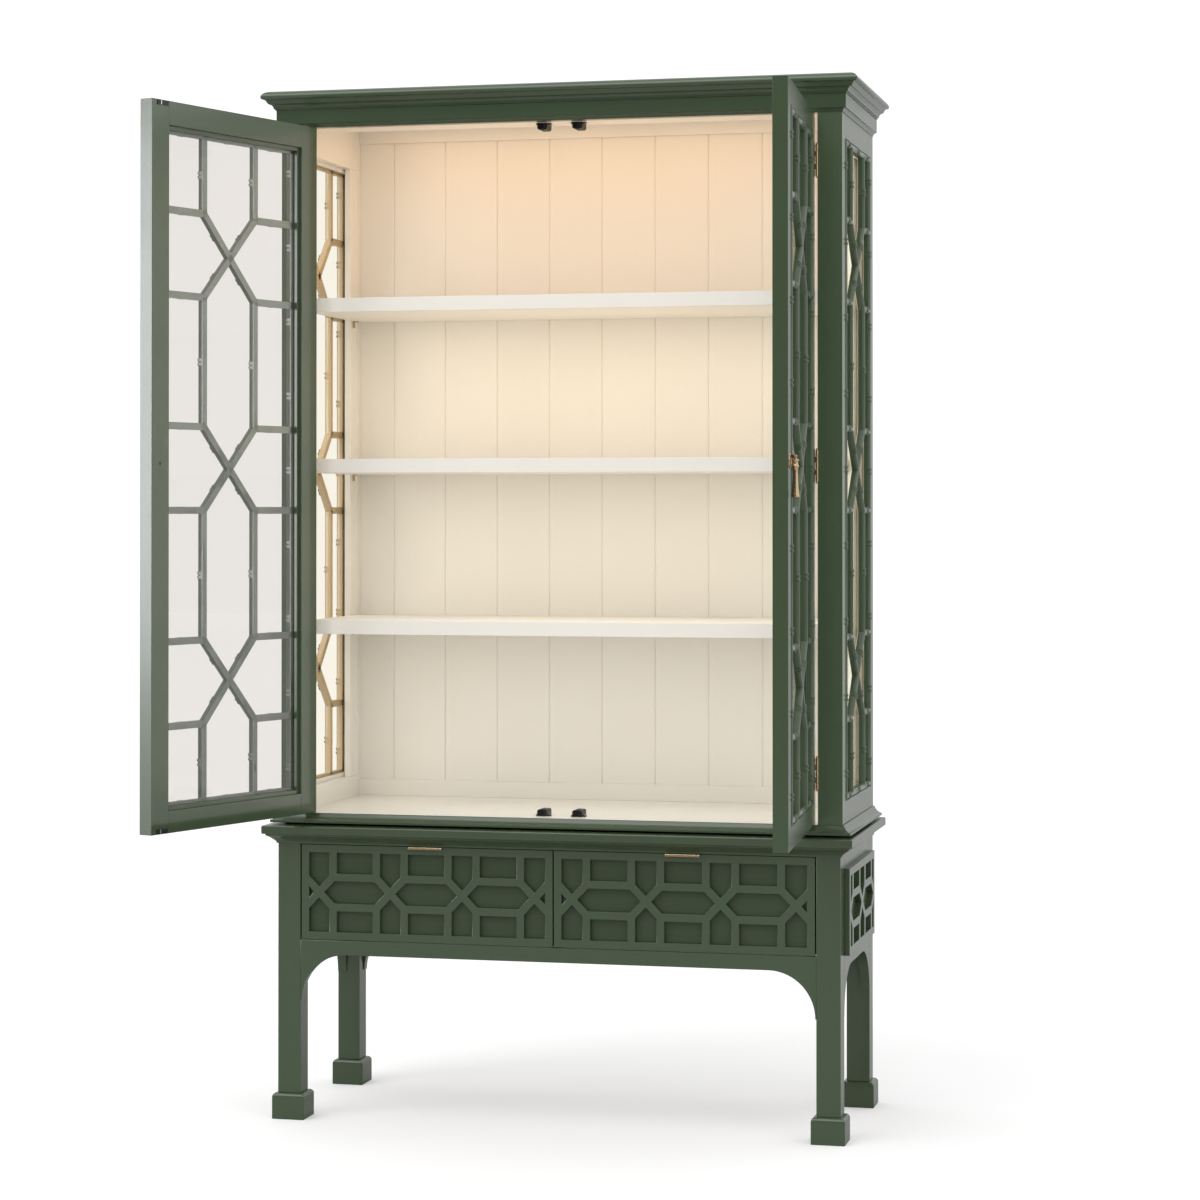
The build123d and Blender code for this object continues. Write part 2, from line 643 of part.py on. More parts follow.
def catches():
    """Magnetic catches on the floor and under the header, one for each end of each door."""
    width, depth, height = CATCH
    ear_w, ear_d, ear_t = CATCH_EARS
    front = DOOR_BACK + STRIKE[1] + CATCH_GAP
    ear_front = front + CATCH_EAR_BACK
    solids = []
    for low, ear_low in ((HEAD_Z - height, HEAD_Z - ear_t), (FLOOR_Z, FLOOR_Z)):
        body = block((CATCH_X - width / 2, CATCH_X + width / 2), (front, front + depth), (low, low + height))
        ears = block((CATCH_X - ear_w / 2, CATCH_X + ear_w / 2), (ear_front, ear_front + ear_d),
                     (ear_low, ear_low + ear_t))
        body = chamfer(body.edges().filter_by(Axis.Y), CATCH_CORNER)
        solids += both(body.fuse(ears).clean())
    return solids


# ---------------------------------------------------------------- hinges
def hinge_leaf(way, own):
    """A leaf on one side of the hinge line with its knuckles; way is 1 for the case's leaf.

    The case's leaf holds the pin, which turns in the door's knuckle.
    """
    step = (HINGE_L + KNUCKLE_GAP) / KNUCKLES
    plate_x = sorted((way * HINGE_GAP / 2, way * (HINGE_GAP / 2 + LEAF_T)))
    solid = block(plate_x, (KNUCKLE_R + LEAF_CLEAR, KNUCKLE_R + LEAF_CLEAR + LEAF_W), (0, HINGE_L))
    for number in own:
        low = number * step
        high = low + step - KNUCKLE_GAP
        knuckle = extrude(Pos(0, 0, low) * RegularPolygon(KNUCKLE_R, KNUCKLE_SIDES), high - low)
        solid = solid.fuse(knuckle, block(plate_x, (0, AXIS_PROUD), (low, high)))
    if way == 1:
        pin = Pos(0, 0, HINGE_L / 2) * Cylinder(HINGE_PIN_R, HINGE_L - 2 * PIN_SHORT)
        return solid.fuse(pin).clean()
    bore = RegularPolygon(HINGE_PIN_R + PIN_PLAY, KNUCKLE_SIDES, major_radius=False)
    return solid.clean() - extrude(bore, HINGE_L)


def at_hinges(solid):
    """Copies of a right-hand hinge piece at the three heights of the right door."""
    return [Pos(HINGE_X, HINGE_Y, z - HINGE_L / 2) * solid for z in HINGE_ZS]


# ---------------------------------------------------------------- doors
def door_frame():
    """Two stiles and two rails, with hinge mortises in the outer stile."""
    free = DOOR_X - DOOR_W
    y = (CASE_FRONT, DOOR_BACK)
    hinge_stile = block((DOOR_X - STILE, DOOR_X), y, DOOR_Z)
    for z in HINGE_ZS:
        hinge_stile -= block((DOOR_X - LEAF_T, DOOR_X), MORTISE_Y, (z - HINGE_L / 2, z + HINGE_L / 2))
    meeting_stile = block((free, free + STILE), y, DOOR_Z)
    x = (free + STILE, DOOR_X - STILE)
    rails = [block(x, y, z) for z in ((DOOR_Z[0], SIDE_LIGHT_Z[0]), (SIDE_LIGHT_Z[1], DOOR_Z[1]))]
    return [hinge_stile, meeting_stile] + rails


def door_stops(x):
    y = (GLASS_Y + GLASS_T, GLASS_Y + GLASS_T + STOP)
    (left, right), (low, high) = x, SIDE_LIGHT_Z
    strips = [block(span, y, (low, high)) for span in ((left, left + STOP), (right - STOP, right))]
    strips += [block((left + STOP, right - STOP), y, z) for z in ((low, low + STOP), (high - STOP, high))]
    return strips


def strikes():
    """Steel plates on the door's inner face, opposite the catches."""
    width, thickness, height = STRIKE
    x = (CATCH_X - width / 2, CATCH_X + width / 2)
    y = (DOOR_BACK, DOOR_BACK + thickness)
    low, high = DOOR_Z[0] + STRIKE_INSET, DOOR_Z[1] - STRIKE_INSET
    return [block(x, y, z) for z in ((low, low + height), (high - height, high))]


def pull_plate(x):
    """Round rosette with two cheeks and the cross pin that the drop swings on."""
    axis_y, (edge_t, edge_w) = CASE_FRONT - DROP_PROUD, ROSETTE_EDGE
    rosette = turned([(0, ROSETTE_R), (ROSETTE_T - edge_t, ROSETTE_R), (ROSETTE_T, ROSETTE_R - edge_w)])
    rosette = Pos(x, CASE_FRONT, DROP_Z - ROSETTE_DROP) * Rot(90, 0, 0) * rosette
    cheeks = [block(sorted((x + way * CHEEK_X[0], x + way * CHEEK_X[1])),
                    (axis_y - CHEEK_Y, CASE_FRONT - ROSETTE_T), (DROP_Z - CHEEK_Z, DROP_Z + CHEEK_Z))
              for way in (-1, 1)]
    pin = Pos(x, axis_y, DROP_Z) * Rot(0, 90, 0) * Cylinder(DROP_PIN_R, DROP_PIN_L)
    return rosette.fuse(*cheeks, pin).clean()


def pull_drop(x):
    """Turned drop: an eye on the pin, two collars and a shank that flares to its foot."""
    shank = turned(DROP_TURNING)
    eye = Pos(0, 0, -EYE_DROP) * Box(*EYE)
    hole = Rot(0, 90, 0) * Cylinder(DROP_PIN_R + PIN_PLAY, 2 * DROP_PIN_L)
    return Pos(x, CASE_FRONT - DROP_PROUD, DROP_Z) * (shank.fuse(eye).clean() - hole)


def door_parts():
    """The right door, closed."""
    free = DOOR_X - DOOR_W
    x = (free + STILE, DOOR_X - STILE)
    centre_x = sum(x) / 2
    facing_front = Plane(origin=(centre_x, GLASS_Y, LIGHT_CENTRE_Z), x_dir=(1, 0, 0), z_dir=(0, -1, 0))
    pull_x = free + DROP_FROM_EDGE
    return {
        "door_frame": door_frame(),
        "door_fret": [facing_front.location * light_fret(x[1] - x[0])],
        "door_glass": [block(x, (GLASS_Y, GLASS_Y + GLASS_T), SIDE_LIGHT_Z)],
        "door_stops": door_stops(x),
        "door_strikes": strikes(),
        "door_hinge_leaves": at_hinges(hinge_leaf(-1, (1,))),
        "pull_plate": [pull_plate(pull_x)],
        "pull_drop": [pull_drop(pull_x)],
    }


def swung(solid, way, degrees):
    """Turn a closed door's piece about its hinge line; way is 1 for the right door."""
    return solid.rotate(Axis((way * HINGE_X, HINGE_Y, 0), (0, 0, 1)), way * degrees)


# ---------------------------------------------------------------- the whole cabinet
def cabinet():
    nodes = {}
    for side_x, way_x in (("left", -1), ("right", 1)):
        for side_y, way_y in (("front", -1), ("rear", 1)):
            nodes[f"leg_{side_y}_{side_x}"] = [leg(way_x, way_y)]
    nodes["feet"] = [foot(way_x, way_y) for way_x in (-1, 1) for way_y in (-1, 1)]
    nodes.update(aprons())
    nodes["stand_frets"] = stand_frets()
    nodes["drawer_rails"] = drawer_rails()
    nodes["drawer_runners"] = drawer_runners()
    nodes["bed_moulding"] = bed_moulding()
    nodes["stand_top"] = [stand_top()]
    for name, solids in drawer_parts().items():
        nodes[f"{name}_right"] = solids
        nodes[f"{name}_left"] = [mirrored(solid) for solid in solids]

    nodes["corner_posts"] = corner_posts()
    nodes["side_rails"] = side_rails()
    nodes["side_linings"] = side_linings()
    nodes["case_floor"] = case_floor()
    nodes["header"] = [header()]
    nodes["top_board"] = [top_board()]
    nodes["base_moulding"] = base_moulding()
    nodes["frieze"] = frieze()
    nodes["cornice"] = cornice()
    nodes["back_boards"] = back_boards()
    nodes["back_rails"] = back_rails()
    nodes.update(side_frets())
    nodes["side_glass"] = side_glass()
    nodes["side_stops"] = side_stops()
    for level, top in SHELF_TOPS.items():
        nodes[f"shelf_{level}"] = [shelf(top)]
    nodes["shelf_clips"] = shelf_clips()
    nodes["catches"] = catches()
    case_leaves = at_hinges(hinge_leaf(1, (0, 2)))
    nodes["case_hinge_leaves"] = case_leaves + [mirrored(leaf) for leaf in case_leaves]

    for name, solids in door_parts().items():
        nodes[f"{name}_right"] = [swung(solid, 1, RIGHT_OPEN) for solid in solids]
        nodes[f"{name}_left"] = [swung(mirrored(solid), -1, LEFT_OPEN) for solid in solids]
    return nodes


def main():
    os.makedirs("parts", exist_ok=True)
    for name, shapes in cabinet().items():
        solids = [solid for shape in shapes for solid in shape.solids()]
        whole = solids[0] if len(solids) == 1 else Compound(solids)
        whole.label = name
        export_step(whole, f"parts/{name}.step")


main()
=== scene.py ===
import json
import math

import bpy
from mathutils import Matrix, Vector


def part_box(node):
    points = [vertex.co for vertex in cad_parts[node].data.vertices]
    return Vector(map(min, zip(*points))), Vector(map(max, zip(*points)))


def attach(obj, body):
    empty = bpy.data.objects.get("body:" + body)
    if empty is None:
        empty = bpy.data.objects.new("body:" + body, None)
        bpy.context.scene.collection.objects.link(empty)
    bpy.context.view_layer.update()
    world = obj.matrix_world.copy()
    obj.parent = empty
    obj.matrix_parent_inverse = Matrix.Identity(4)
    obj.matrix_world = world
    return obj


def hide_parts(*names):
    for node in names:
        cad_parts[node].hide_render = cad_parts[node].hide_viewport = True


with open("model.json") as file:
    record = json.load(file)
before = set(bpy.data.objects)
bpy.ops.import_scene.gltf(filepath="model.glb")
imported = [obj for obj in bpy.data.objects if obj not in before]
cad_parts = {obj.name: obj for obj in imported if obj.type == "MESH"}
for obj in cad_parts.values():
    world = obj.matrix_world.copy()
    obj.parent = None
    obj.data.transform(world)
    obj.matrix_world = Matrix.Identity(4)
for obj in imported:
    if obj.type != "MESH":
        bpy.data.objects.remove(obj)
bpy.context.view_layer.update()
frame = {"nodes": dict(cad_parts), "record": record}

RECORD = frame["record"]
BODY_OF = {node: body for body, nodes in RECORD["behaviour"]["bodies"].items() for node in nodes}
SLOT_OF = {part["node"]: part["material_slot"] for part in RECORD["subparts"]}
JOINTS = {joint["name"]: joint for joint in RECORD["behaviour"]["joints"]}
MM = 0.001


def span(node, axis):
    """From where to where a node reaches along an axis, in metres, to a hundredth of a millimetre."""
    return [round(corner["XYZ".index(axis)], 5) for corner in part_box(node)]


# Planes of the stand and of the case.
STAND_SIDE = span("leg_front_right", "X")[1]
STAND_FRONT = span("leg_front_right", "Y")[0]
CASE_SIDE = span("corner_posts", "X")[1]
CASE_FRONT, REAR = span("corner_posts", "Y")
CASE_FOOT, CASE_TOP = span("corner_posts", "Z")
FLOOR_TOP = span("case_floor", "Z")[1]

# The openings that the bamboo frets fill. Those of the doors are as high as those of the sides.
GLASS_FACE = span("side_fret_right", "X")[0]
SIDE_LIGHT_FRONT, SIDE_LIGHT_REAR = span("side_fret_right", "Y")
LIGHT_LOW, LIGHT_HIGH = span("side_fret_right", "Z")
LIGHT_Z = (LIGHT_LOW + LIGHT_HIGH) / 2
LIGHT_H = LIGHT_HIGH - LIGHT_LOW

# Where the doors hang, and how far each stands open: by its joint's limit on the side where it shuts.
SIDES = {"left": -1, "right": 1}
HINGE = Vector((*JOINTS["right_door_hinge"]["pos_m"][:2], 0.0))
OPEN = {"left": math.radians(-JOINTS["left_door_hinge"]["range_deg"][1]),
        "right": math.radians(-JOINTS["right_door_hinge"]["range_deg"][0])}

# A closed right-hand door, in millimetres: its two faces, and its glass's face, middle and width.
DOOR_FACE = -202.0
DOOR_BACK = -173.0
DOOR_GLASS_FACE = -190.0
DOOR_LIGHT_X = 270.0
DOOR_LIGHT_W = 433.0

# How far a second paint laps past the edge that it is meant to stop at.
LAP = 0.5 * MM


# ---------------------------------------------------------------- finishes
# A Mix node has several sockets of one name, so they go by number.
MIX_SHARE = 0
MIX_FIRST_VALUE, MIX_SECOND_VALUE = 2, 3
MIX_FIRST_COLOUR, MIX_SECOND_COLOUR = 6, 7
MIXED_COLOUR = 2


class Tone:
    """A value or colour that varies over a finish. Arithmetic on tones adds the nodes for it."""

    def __init__(self, finish, socket):
        self.finish = finish
        self.socket = socket

    def out(self, which):
        """Another output of the same node, by name or by number."""
        return Tone(self.finish, self.socket.node.outputs[which])

    def at_least(self, floor):
        return self._math("MAXIMUM", self, floor)

    def _math(self, operation, *values):
        return self.finish.node("ShaderNodeMath", {"operation": operation}, dict(enumerate(values)))

    def __add__(self, other):
        return self._math("ADD", self, other)

    def __mul__(self, other):
        return self._math("MULTIPLY", self, other)

    def __sub__(self, other):
        return self._math("SUBTRACT", self, other)

    def __rsub__(self, other):
        return self._math("SUBTRACT", other, self)

    def __lt__(self, other):
        return self._math("LESS_THAN", self, other)

    def __gt__(self, other):
        return self._math("GREATER_THAN", self, other)

    def __abs__(self):
        return self._math("ABSOLUTE", self)

    __radd__ = __add__
    __rmul__ = __mul__


class Finish:
    """The nodes of a material, or of the studio's surroundings, built up one at a time."""

    def __init__(self, name, owner=None):
        self.material = owner or bpy.data.materials.new(name)
        self.material.use_nodes = True
        self.tree = self.material.node_tree
        self.tree.nodes.clear()

    def node(self, kind, settings=None, values=None):
        """Adds a node, with its settings first and then the values or links of its sockets."""
        made = self.tree.nodes.new(kind)
        for name, setting in (settings or {}).items():
            setattr(made, name, setting)
        for key, value in (values or {}).items():
            if isinstance(value, Tone):
                self.tree.links.new(value.socket, made.inputs[key])
            else:
                made.inputs[key].default_value = value
        return Tone(self, made.outputs[0])

    def place(self, turn=0.0, shift=(0.0, 0.0, 0.0)):
        """Where a point of the surface lies, turned about the upright axis and shifted."""
        spot = self.node("ShaderNodeTexCoord").out("Object")
        if not turn:
            return spot
        return self.node("ShaderNodeMapping", None,
                         {"Vector": spot, "Location": shift, "Rotation": (0, 0, turn)})

    def axes(self, spot):
        split = self.node("ShaderNodeSeparateXYZ", None, {0: spot})
        return split, split.out("Y"), split.out("Z")

    def facing(self):
        """Which way the surface looks, by its parts along the three axes."""
        return self.axes(self.node("ShaderNodeNewGeometry").out("Normal"))

    def stretched(self, spot, scale):
        return self.node("ShaderNodeVectorMath", {"operation": "MULTIPLY"}, {0: spot, 1: scale})

    def noise(self, spot, scale, detail=2.0, roughness=0.5):
        """Even noise from 0 to 1, in features of about 1/scale metres."""
        return self.node("ShaderNodeTexNoise", {"noise_dimensions": "3D"},
                         {"Vector": spot, "Scale": scale, "Detail": detail, "Roughness": roughness})

    def mix(self, share, first, second):
        """A colour between two, nearer the second as the share rises."""
        return self.node("ShaderNodeMix", {"data_type": "RGBA"},
                         {MIX_SHARE: share, MIX_FIRST_COLOUR: first,
                          MIX_SECOND_COLOUR: second}).out(MIXED_COLOUR)

    def value_mix(self, share, first, second):
        return self.node("ShaderNodeMix", {"data_type": "FLOAT"},
                         {MIX_SHARE: share, MIX_FIRST_VALUE: first, MIX_SECOND_VALUE: second})

    def bump(self, height, distance, strength=1.0):
        return self.node("ShaderNodeBump", None,
                         {"Height": height, "Distance": distance, "Strength": strength})

    def surface(self, shader):
        output = self.tree.nodes.new("ShaderNodeOutputMaterial")
        self.tree.links.new(shader.socket, output.inputs["Surface"])
        return self.material

    def solid(self, colour, roughness, normal=None, metallic=0.0, **fixed):
        """Closes the finish with an opaque surface."""
        values = {"Base Color": colour, "Roughness": roughness, "Metallic": metallic}
        if normal is not None:
            values["Normal"] = normal
        values.update({name.replace("_", " "): value for name, value in fixed.items()})
        return self.surface(self.node("ShaderNodeBsdfPrincipled", None, values))


GREEN = (0.041, 0.063, 0.032, 1.0)
GREEN_THIN = (0.049, 0.075, 0.039, 1.0)
# Lighter greens for the corner posts: painted light that lifts the shade the open doors throw on them.
GREEN_PAINTED_LIT = (0.062, 0.092, 0.051, 1.0)
GREEN_PAINTED_LIT_THICK = (0.077, 0.113, 0.063, 1.0)
# A darker green for the recessed drawer panels: painted shade of the recess.
GREEN_PAINTED_SHADE = (0.030, 0.047, 0.023, 1.0)
# A pale green for the flat backs of the doors' canes: painted sheen of the glass that lies over them.
GREEN_PAINTED_SHEEN = (0.19, 0.24, 0.21, 1.0)
GREEN_PAINTED_SHEEN_THICK = (0.28, 0.33, 0.30, 1.0)
# Near black: painted shadow for the gap under the case.
SHADE = (0.004, 0.006, 0.004, 1.0)
# Tan for the insides of the left side's canes: the cream darkened as painted shade.
CREAM_PAINTED_SHADE = (0.60, 0.45, 0.27, 1.0)
CREAM_PAINTED_SHADE_THIN = (0.68, 0.54, 0.36, 1.0)
CREAM = (0.86, 0.83, 0.77, 1.0)
CREAM_WARM = (0.84, 0.80, 0.72, 1.0)


def brushed(finish, spot, way):
    """The marks of a brush drawn along one axis, broad and fine."""
    across, along, finer = 260.0, 5.0, 4.2
    scale = [along if axis == way else across for axis in "XYZ"]
    marks = finish.noise(finish.stretched(spot, scale), 1.0, detail=3.0, roughness=0.6)
    fine = finish.noise(finish.stretched(spot, [finer * value for value in scale]), 1.0)
    return marks, fine


def paint(name, way="Z", side=None, inner=None, frame_of_rails=False, thin=GREEN, thick=GREEN_THIN, gloss=0.5,
          inner_thin=CREAM_WARM, inner_thick=CREAM):
    """Satin brushed paint, in the frame of the closed door where a side is given.

    inner says which faces take the second colour, cream unless it is given. frame_of_rails draws the brush
    along the rails above and below the glass.
    """
    finish = Finish(name)
    if side:
        turn, hinge = -OPEN[side], Vector((SIDES[side] * HINGE.x, HINGE.y, 0.0))
        spot = finish.place(turn, hinge - Matrix.Rotation(turn, 3, "Z") @ hinge)
    else:
        spot = finish.place()
    marks, fine = brushed(finish, spot, way)
    if frame_of_rails:
        height = finish.axes(spot)[2]
        rail = abs(height - LIGHT_Z) > LIGHT_H / 2
        cross_marks, cross_fine = brushed(finish, spot, "X")
        marks = finish.value_mix(rail, marks, cross_marks)
        fine = finish.value_mix(rail, fine, cross_fine)
    cloud = finish.noise(spot, 7.0, detail=3.0, roughness=0.55)
    colour = finish.mix(marks * 0.7 + cloud * 0.3, thin, thick)
    if inner:
        inner_colour = finish.mix(marks * 0.5 + cloud * 0.5, inner_thin, inner_thick)
        inside = None
        for test in inner(*finish.axes(spot)):
            inside = test if inside is None else inside * test
        colour = finish.mix(inside, colour, inner_colour)
    ridges = finish.bump(marks * 0.7 + fine * 0.3, distance=0.12 * MM, strength=0.5)
    return finish.solid(colour, fine * 0.10 + cloud * 0.06 + 0.14, ridges, Specular_IOR_Level=gloss)


def cream_paint(name, way):
    """The duller cream of the lining, shelves and back."""
    finish = Finish(name)
    spot = finish.place()
    marks, fine = brushed(finish, spot, way)
    cloud = finish.noise(spot, 5.0, detail=3.0, roughness=0.55)
    colour = finish.mix(marks * 0.4 + cloud * 0.6, CREAM_WARM, CREAM)
    ridges = finish.bump(marks * 0.6 + fine * 0.4, distance=0.10 * MM, strength=0.5)
    return finish.solid(colour, fine * 0.14 + 0.36, ridges, Specular_IOR_Level=0.4)


def case_inside(x, y, z):
    """The faces of the case that close it in behind the doors, with the rebates of its side lights."""
    return (abs(x) < GLASS_FACE - MM, y > CASE_FRONT + LAP, y < REAR - 2 * MM,
            z > FLOOR_TOP - LAP, z < CASE_TOP + LAP)


def header_inside(x, y, z):
    """Behind the header's front edge."""
    return y > CASE_FRONT + 20 * MM, z < CASE_TOP + LAP


def above_plinth(x, y, z):
    """All of the case's floor but the recessed plinth that it stands on."""
    return (z > CASE_FOOT + 0.2 * MM,)


def fret_inside_left(x, y, z):
    """The backs of the canes, and their flanks towards the doors."""
    return abs(x) < CASE_SIDE + LAP, x.finish.facing()[1] < 0.3


def fret_inside_right(x, y, z):
    """The backs of the canes."""
    return (abs(x) < GLASS_FACE + LAP,)


def cane_backs(x, y, z):
    """The flat backs of a closed door's canes, which lie on the glass."""
    return (y > (DOOR_GLASS_FACE - 0.2) * MM,)


def window_glass(name, tint, ior, shine=1.0):
    """Clear sheet glass: it lets light straight through and takes a gloss at a slant."""
    finish = Finish(name)
    clear = finish.node("ShaderNodeBsdfTransparent", None, {"Color": tint})
    waves = finish.bump(finish.noise(finish.place(), 9.0, detail=1.0, roughness=0.4),
                        distance=0.4 * MM, strength=0.25)
    gloss = finish.node("ShaderNodeBsdfGlossy", None,
                        {"Color": (0.95, 0.97, 0.97, 1.0), "Roughness": 0.03, "Normal": waves})
    front = 1.0 - finish.node("ShaderNodeNewGeometry").out("Backfacing")
    share = finish.node("ShaderNodeFresnel", None, {"IOR": ior}) * front * shine
    return finish.surface(finish.node("ShaderNodeMixShader", None, {0: share, 1: clear, 2: gloss}))


def aged_brass():
    finish = Finish("aged_brass")
    spot = finish.place()
    tarnish = finish.noise(spot, 160.0, detail=4.0, roughness=0.65)
    scratch = finish.noise(finish.stretched(spot, (900.0, 900.0, 120.0)), 1.0)
    colour = finish.mix(tarnish, (0.76, 0.57, 0.34, 1.0), (0.34, 0.22, 0.12, 1.0))
    scores = finish.bump(scratch, distance=0.04 * MM, strength=0.4)
    return finish.solid(colour, tarnish * 0.24 + scratch * 0.10 + 0.08, scores, metallic=1.0)


def catch_metal():
    """Black lacquered metal, rubbed a little lighter in patches."""
    finish = Finish("catch_metal")
    spot = finish.place()
    speck = finish.noise(spot, 900.0, detail=3.0, roughness=0.6)
    wear = finish.noise(spot, 120.0, detail=3.0, roughness=0.6)
    colour = finish.mix(wear, (0.005, 0.005, 0.006, 1.0), (0.016, 0.015, 0.015, 1.0))
    grit = finish.bump(speck, distance=0.05 * MM, strength=0.5)
    return finish.solid(colour, speck * 0.2 + 0.32, grit, Specular_IOR_Level=0.25)


def screw_steel():
    finish = Finish("screw_steel")
    scratch = finish.noise(finish.place(), 1400.0, roughness=0.6)
    colour = finish.mix(scratch, (0.34, 0.33, 0.31, 1.0), (0.55, 0.54, 0.52, 1.0))
    scores = finish.bump(scratch, distance=0.03 * MM, strength=0.5)
    return finish.solid(colour, scratch * 0.25 + 0.22, scores, metallic=1.0)


def bare_wood():
    """Planed softwood, with its grain running front to back."""
    finish = Finish("bare_softwood")
    spot = finish.stretched(finish.place(), (1.0, 0.12, 1.0))
    rings = finish.node("ShaderNodeTexWave", {"wave_type": "BANDS", "bands_direction": "DIAGONAL"},
                        {"Vector": spot, "Scale": 22.0, "Distortion": 9.0, "Detail": 3.0,
                         "Detail Scale": 2.2}).out("Fac")
    pores = finish.noise(finish.stretched(finish.place(), (700.0, 18.0, 700.0)), 1.0)
    colour = finish.mix(rings * 0.7 + pores * 0.3, (0.62, 0.43, 0.25, 1.0), (0.44, 0.28, 0.15, 1.0))
    return finish.solid(colour, pores * 0.2 + 0.5, finish.bump(pores, distance=0.1 * MM, strength=0.4))


FINISHES = {
    "upright": paint("green_paint_upright", "Z"),
    "cross": paint("green_paint_cross", "X"),
    "deep": paint("green_paint_front_to_back", "Y"),
    # The recessed drawer panels: a duller paint with less gloss, and a darker green that is painted shade.
    "panel": paint("drawer_panel_paint", "X", thin=GREEN_PAINTED_SHADE, thick=GREEN, gloss=0.3),
    # The corner posts take the lighter greens: painted light against the shade of the open doors.
    "case_upright": paint("case_paint_upright", "Z", inner=case_inside, thin=GREEN_PAINTED_LIT, thick=GREEN_PAINTED_LIT_THICK),
    "case_cross": paint("case_paint_cross", "X", inner=case_inside),
    "case_deep": paint("case_paint_front_to_back", "Y", inner=case_inside),
    "header": paint("header_paint", "X", inner=header_inside),
    # The recessed plinth under the case's floor is painted near black, a painted shadow in the gap between
    # case and stand.
    "case_floor": paint("floor_paint", "X", inner=above_plinth, thin=SHADE, thick=SHADE, gloss=0.3),
    # The left side's canes take tan on their backs and flanks: cream darkened as painted shade.
    "side_fret_left": paint("fret_paint_left", "Z", inner=fret_inside_left,
                            inner_thin=CREAM_PAINTED_SHADE, inner_thick=CREAM_PAINTED_SHADE_THIN),
    "side_fret_right": paint("fret_paint_right", "Z", inner=fret_inside_right),
    # The backs of the doors' canes take the pale greens: painted sheen of the glass that lies over them.
    "door_fret_left": paint("cane_paint_left", "Z", "left", inner=cane_backs,
                            inner_thin=GREEN_PAINTED_SHEEN, inner_thick=GREEN_PAINTED_SHEEN_THICK),
    "door_fret_right": paint("cane_paint_right", "Z", "right", inner=cane_backs,
                             inner_thin=GREEN_PAINTED_SHEEN, inner_thick=GREEN_PAINTED_SHEEN_THICK),
    "left": paint("door_paint_left", "Z", "left", frame_of_rails=True),
    "right": paint("door_paint_right", "Z", "right", frame_of_rails=True),
    "cream_upright": cream_paint("cream_paint_upright", "Z"),
    "cream_cross": cream_paint("cream_paint_cross", "X"),
    "cream_deep": cream_paint("cream_paint_front_to_back", "Y"),
    "glass": window_glass("door_glass", (0.836, 0.820, 0.805, 1.0), 1.35),
    "side_glass": window_glass("side_light_glass", (0.925, 0.905, 0.850, 1.0), 1.45, 0.35),
    "brass": aged_brass(),
    "catch": catch_metal(),
    "steel": screw_steel(),
    "wood": bare_wood(),
}


# ---------------------------------------------------------------- bench tools
SMOOTH_WITHIN = 32.0
MIRROR = Matrix.Scale(-1, 4, Vector((1, 0, 0)))
UPSIDE_DOWN = Matrix.Scale(-1, 4, Vector((0, 0, 1)))
AS_IT_IS = Matrix.Identity(4)
HANDED = {"left": MIRROR, "right": AS_IT_IS}


def put_down():
    """Leaves edit mode with nothing picked."""
    if bpy.context.object and bpy.context.object.mode != "OBJECT":
        bpy.ops.object.mode_set(mode="OBJECT")
    bpy.ops.object.select_all(action="DESELECT")


def pick(*pieces):
    """Selects the pieces, the first of them active."""
    put_down()
    for piece in pieces:
        piece.select_set(True)
    bpy.context.view_layer.objects.active = pieces[0]


def open_mesh(piece):
    """Goes into edit mode with every vertex picked."""
    pick(piece)
    bpy.ops.object.mode_set(mode="EDIT")
    bpy.ops.mesh.select_mode(type="VERT")
    bpy.ops.mesh.select_all(action="SELECT")


def choose(piece, test):
    """Picks the vertices that pass the test, in edit mode."""
    bpy.ops.mesh.select_all(action="DESELECT")
    bpy.ops.object.mode_set(mode="OBJECT")
    for vertex in piece.data.vertices:
        vertex.select = bool(test(vertex.co))
    bpy.ops.object.mode_set(mode="EDIT")


def choose_edges(piece, test):
    """Picks the edges whose two ends pass the test, in edit mode."""
    bpy.ops.mesh.select_mode(type="EDGE")
    bpy.ops.mesh.select_all(action="DESELECT")
    bpy.ops.object.mode_set(mode="OBJECT")
    for edge in piece.data.edges:
        edge.select = bool(test(*(piece.data.vertices[number].co for number in edge.vertices)))
    bpy.ops.object.mode_set(mode="EDIT")


def close_mesh(piece, smooth=SMOOTH_WITHIN):
    """Turns every face outwards, leaves edit mode and shades the rounded faces smooth."""
    bpy.ops.mesh.select_all(action="SELECT")
    bpy.ops.mesh.normals_make_consistent(inside=False)
    bpy.ops.object.mode_set(mode="OBJECT")
    bpy.ops.object.transform_apply(location=True, rotation=True, scale=True)
    bpy.ops.object.shade_smooth_by_angle(angle=math.radians(smooth))
    return piece


def rounded(piece, width, angle=40.0):
    """Eases the edges that turn by more than the angle."""
    pick(piece)
    ease = piece.modifiers.new("ease", "BEVEL")
    ease.width = width
    ease.segments = 2
    ease.limit_method = "ANGLE"
    ease.angle_limit = math.radians(angle)
    ease.harden_normals = False
    bpy.ops.object.modifier_apply(modifier=ease.name)
    bpy.ops.object.shade_smooth_by_angle(angle=math.radians(SMOOTH_WITHIN))
    return piece


def rolled(piece, radius, test, segments=5):
    """Rounds over the edges whose two ends pass the test."""
    open_mesh(piece)
    choose_edges(piece, test)
    bpy.ops.mesh.bevel(offset=radius * MM, segments=segments, affect="EDGES")
    return close_mesh(piece)


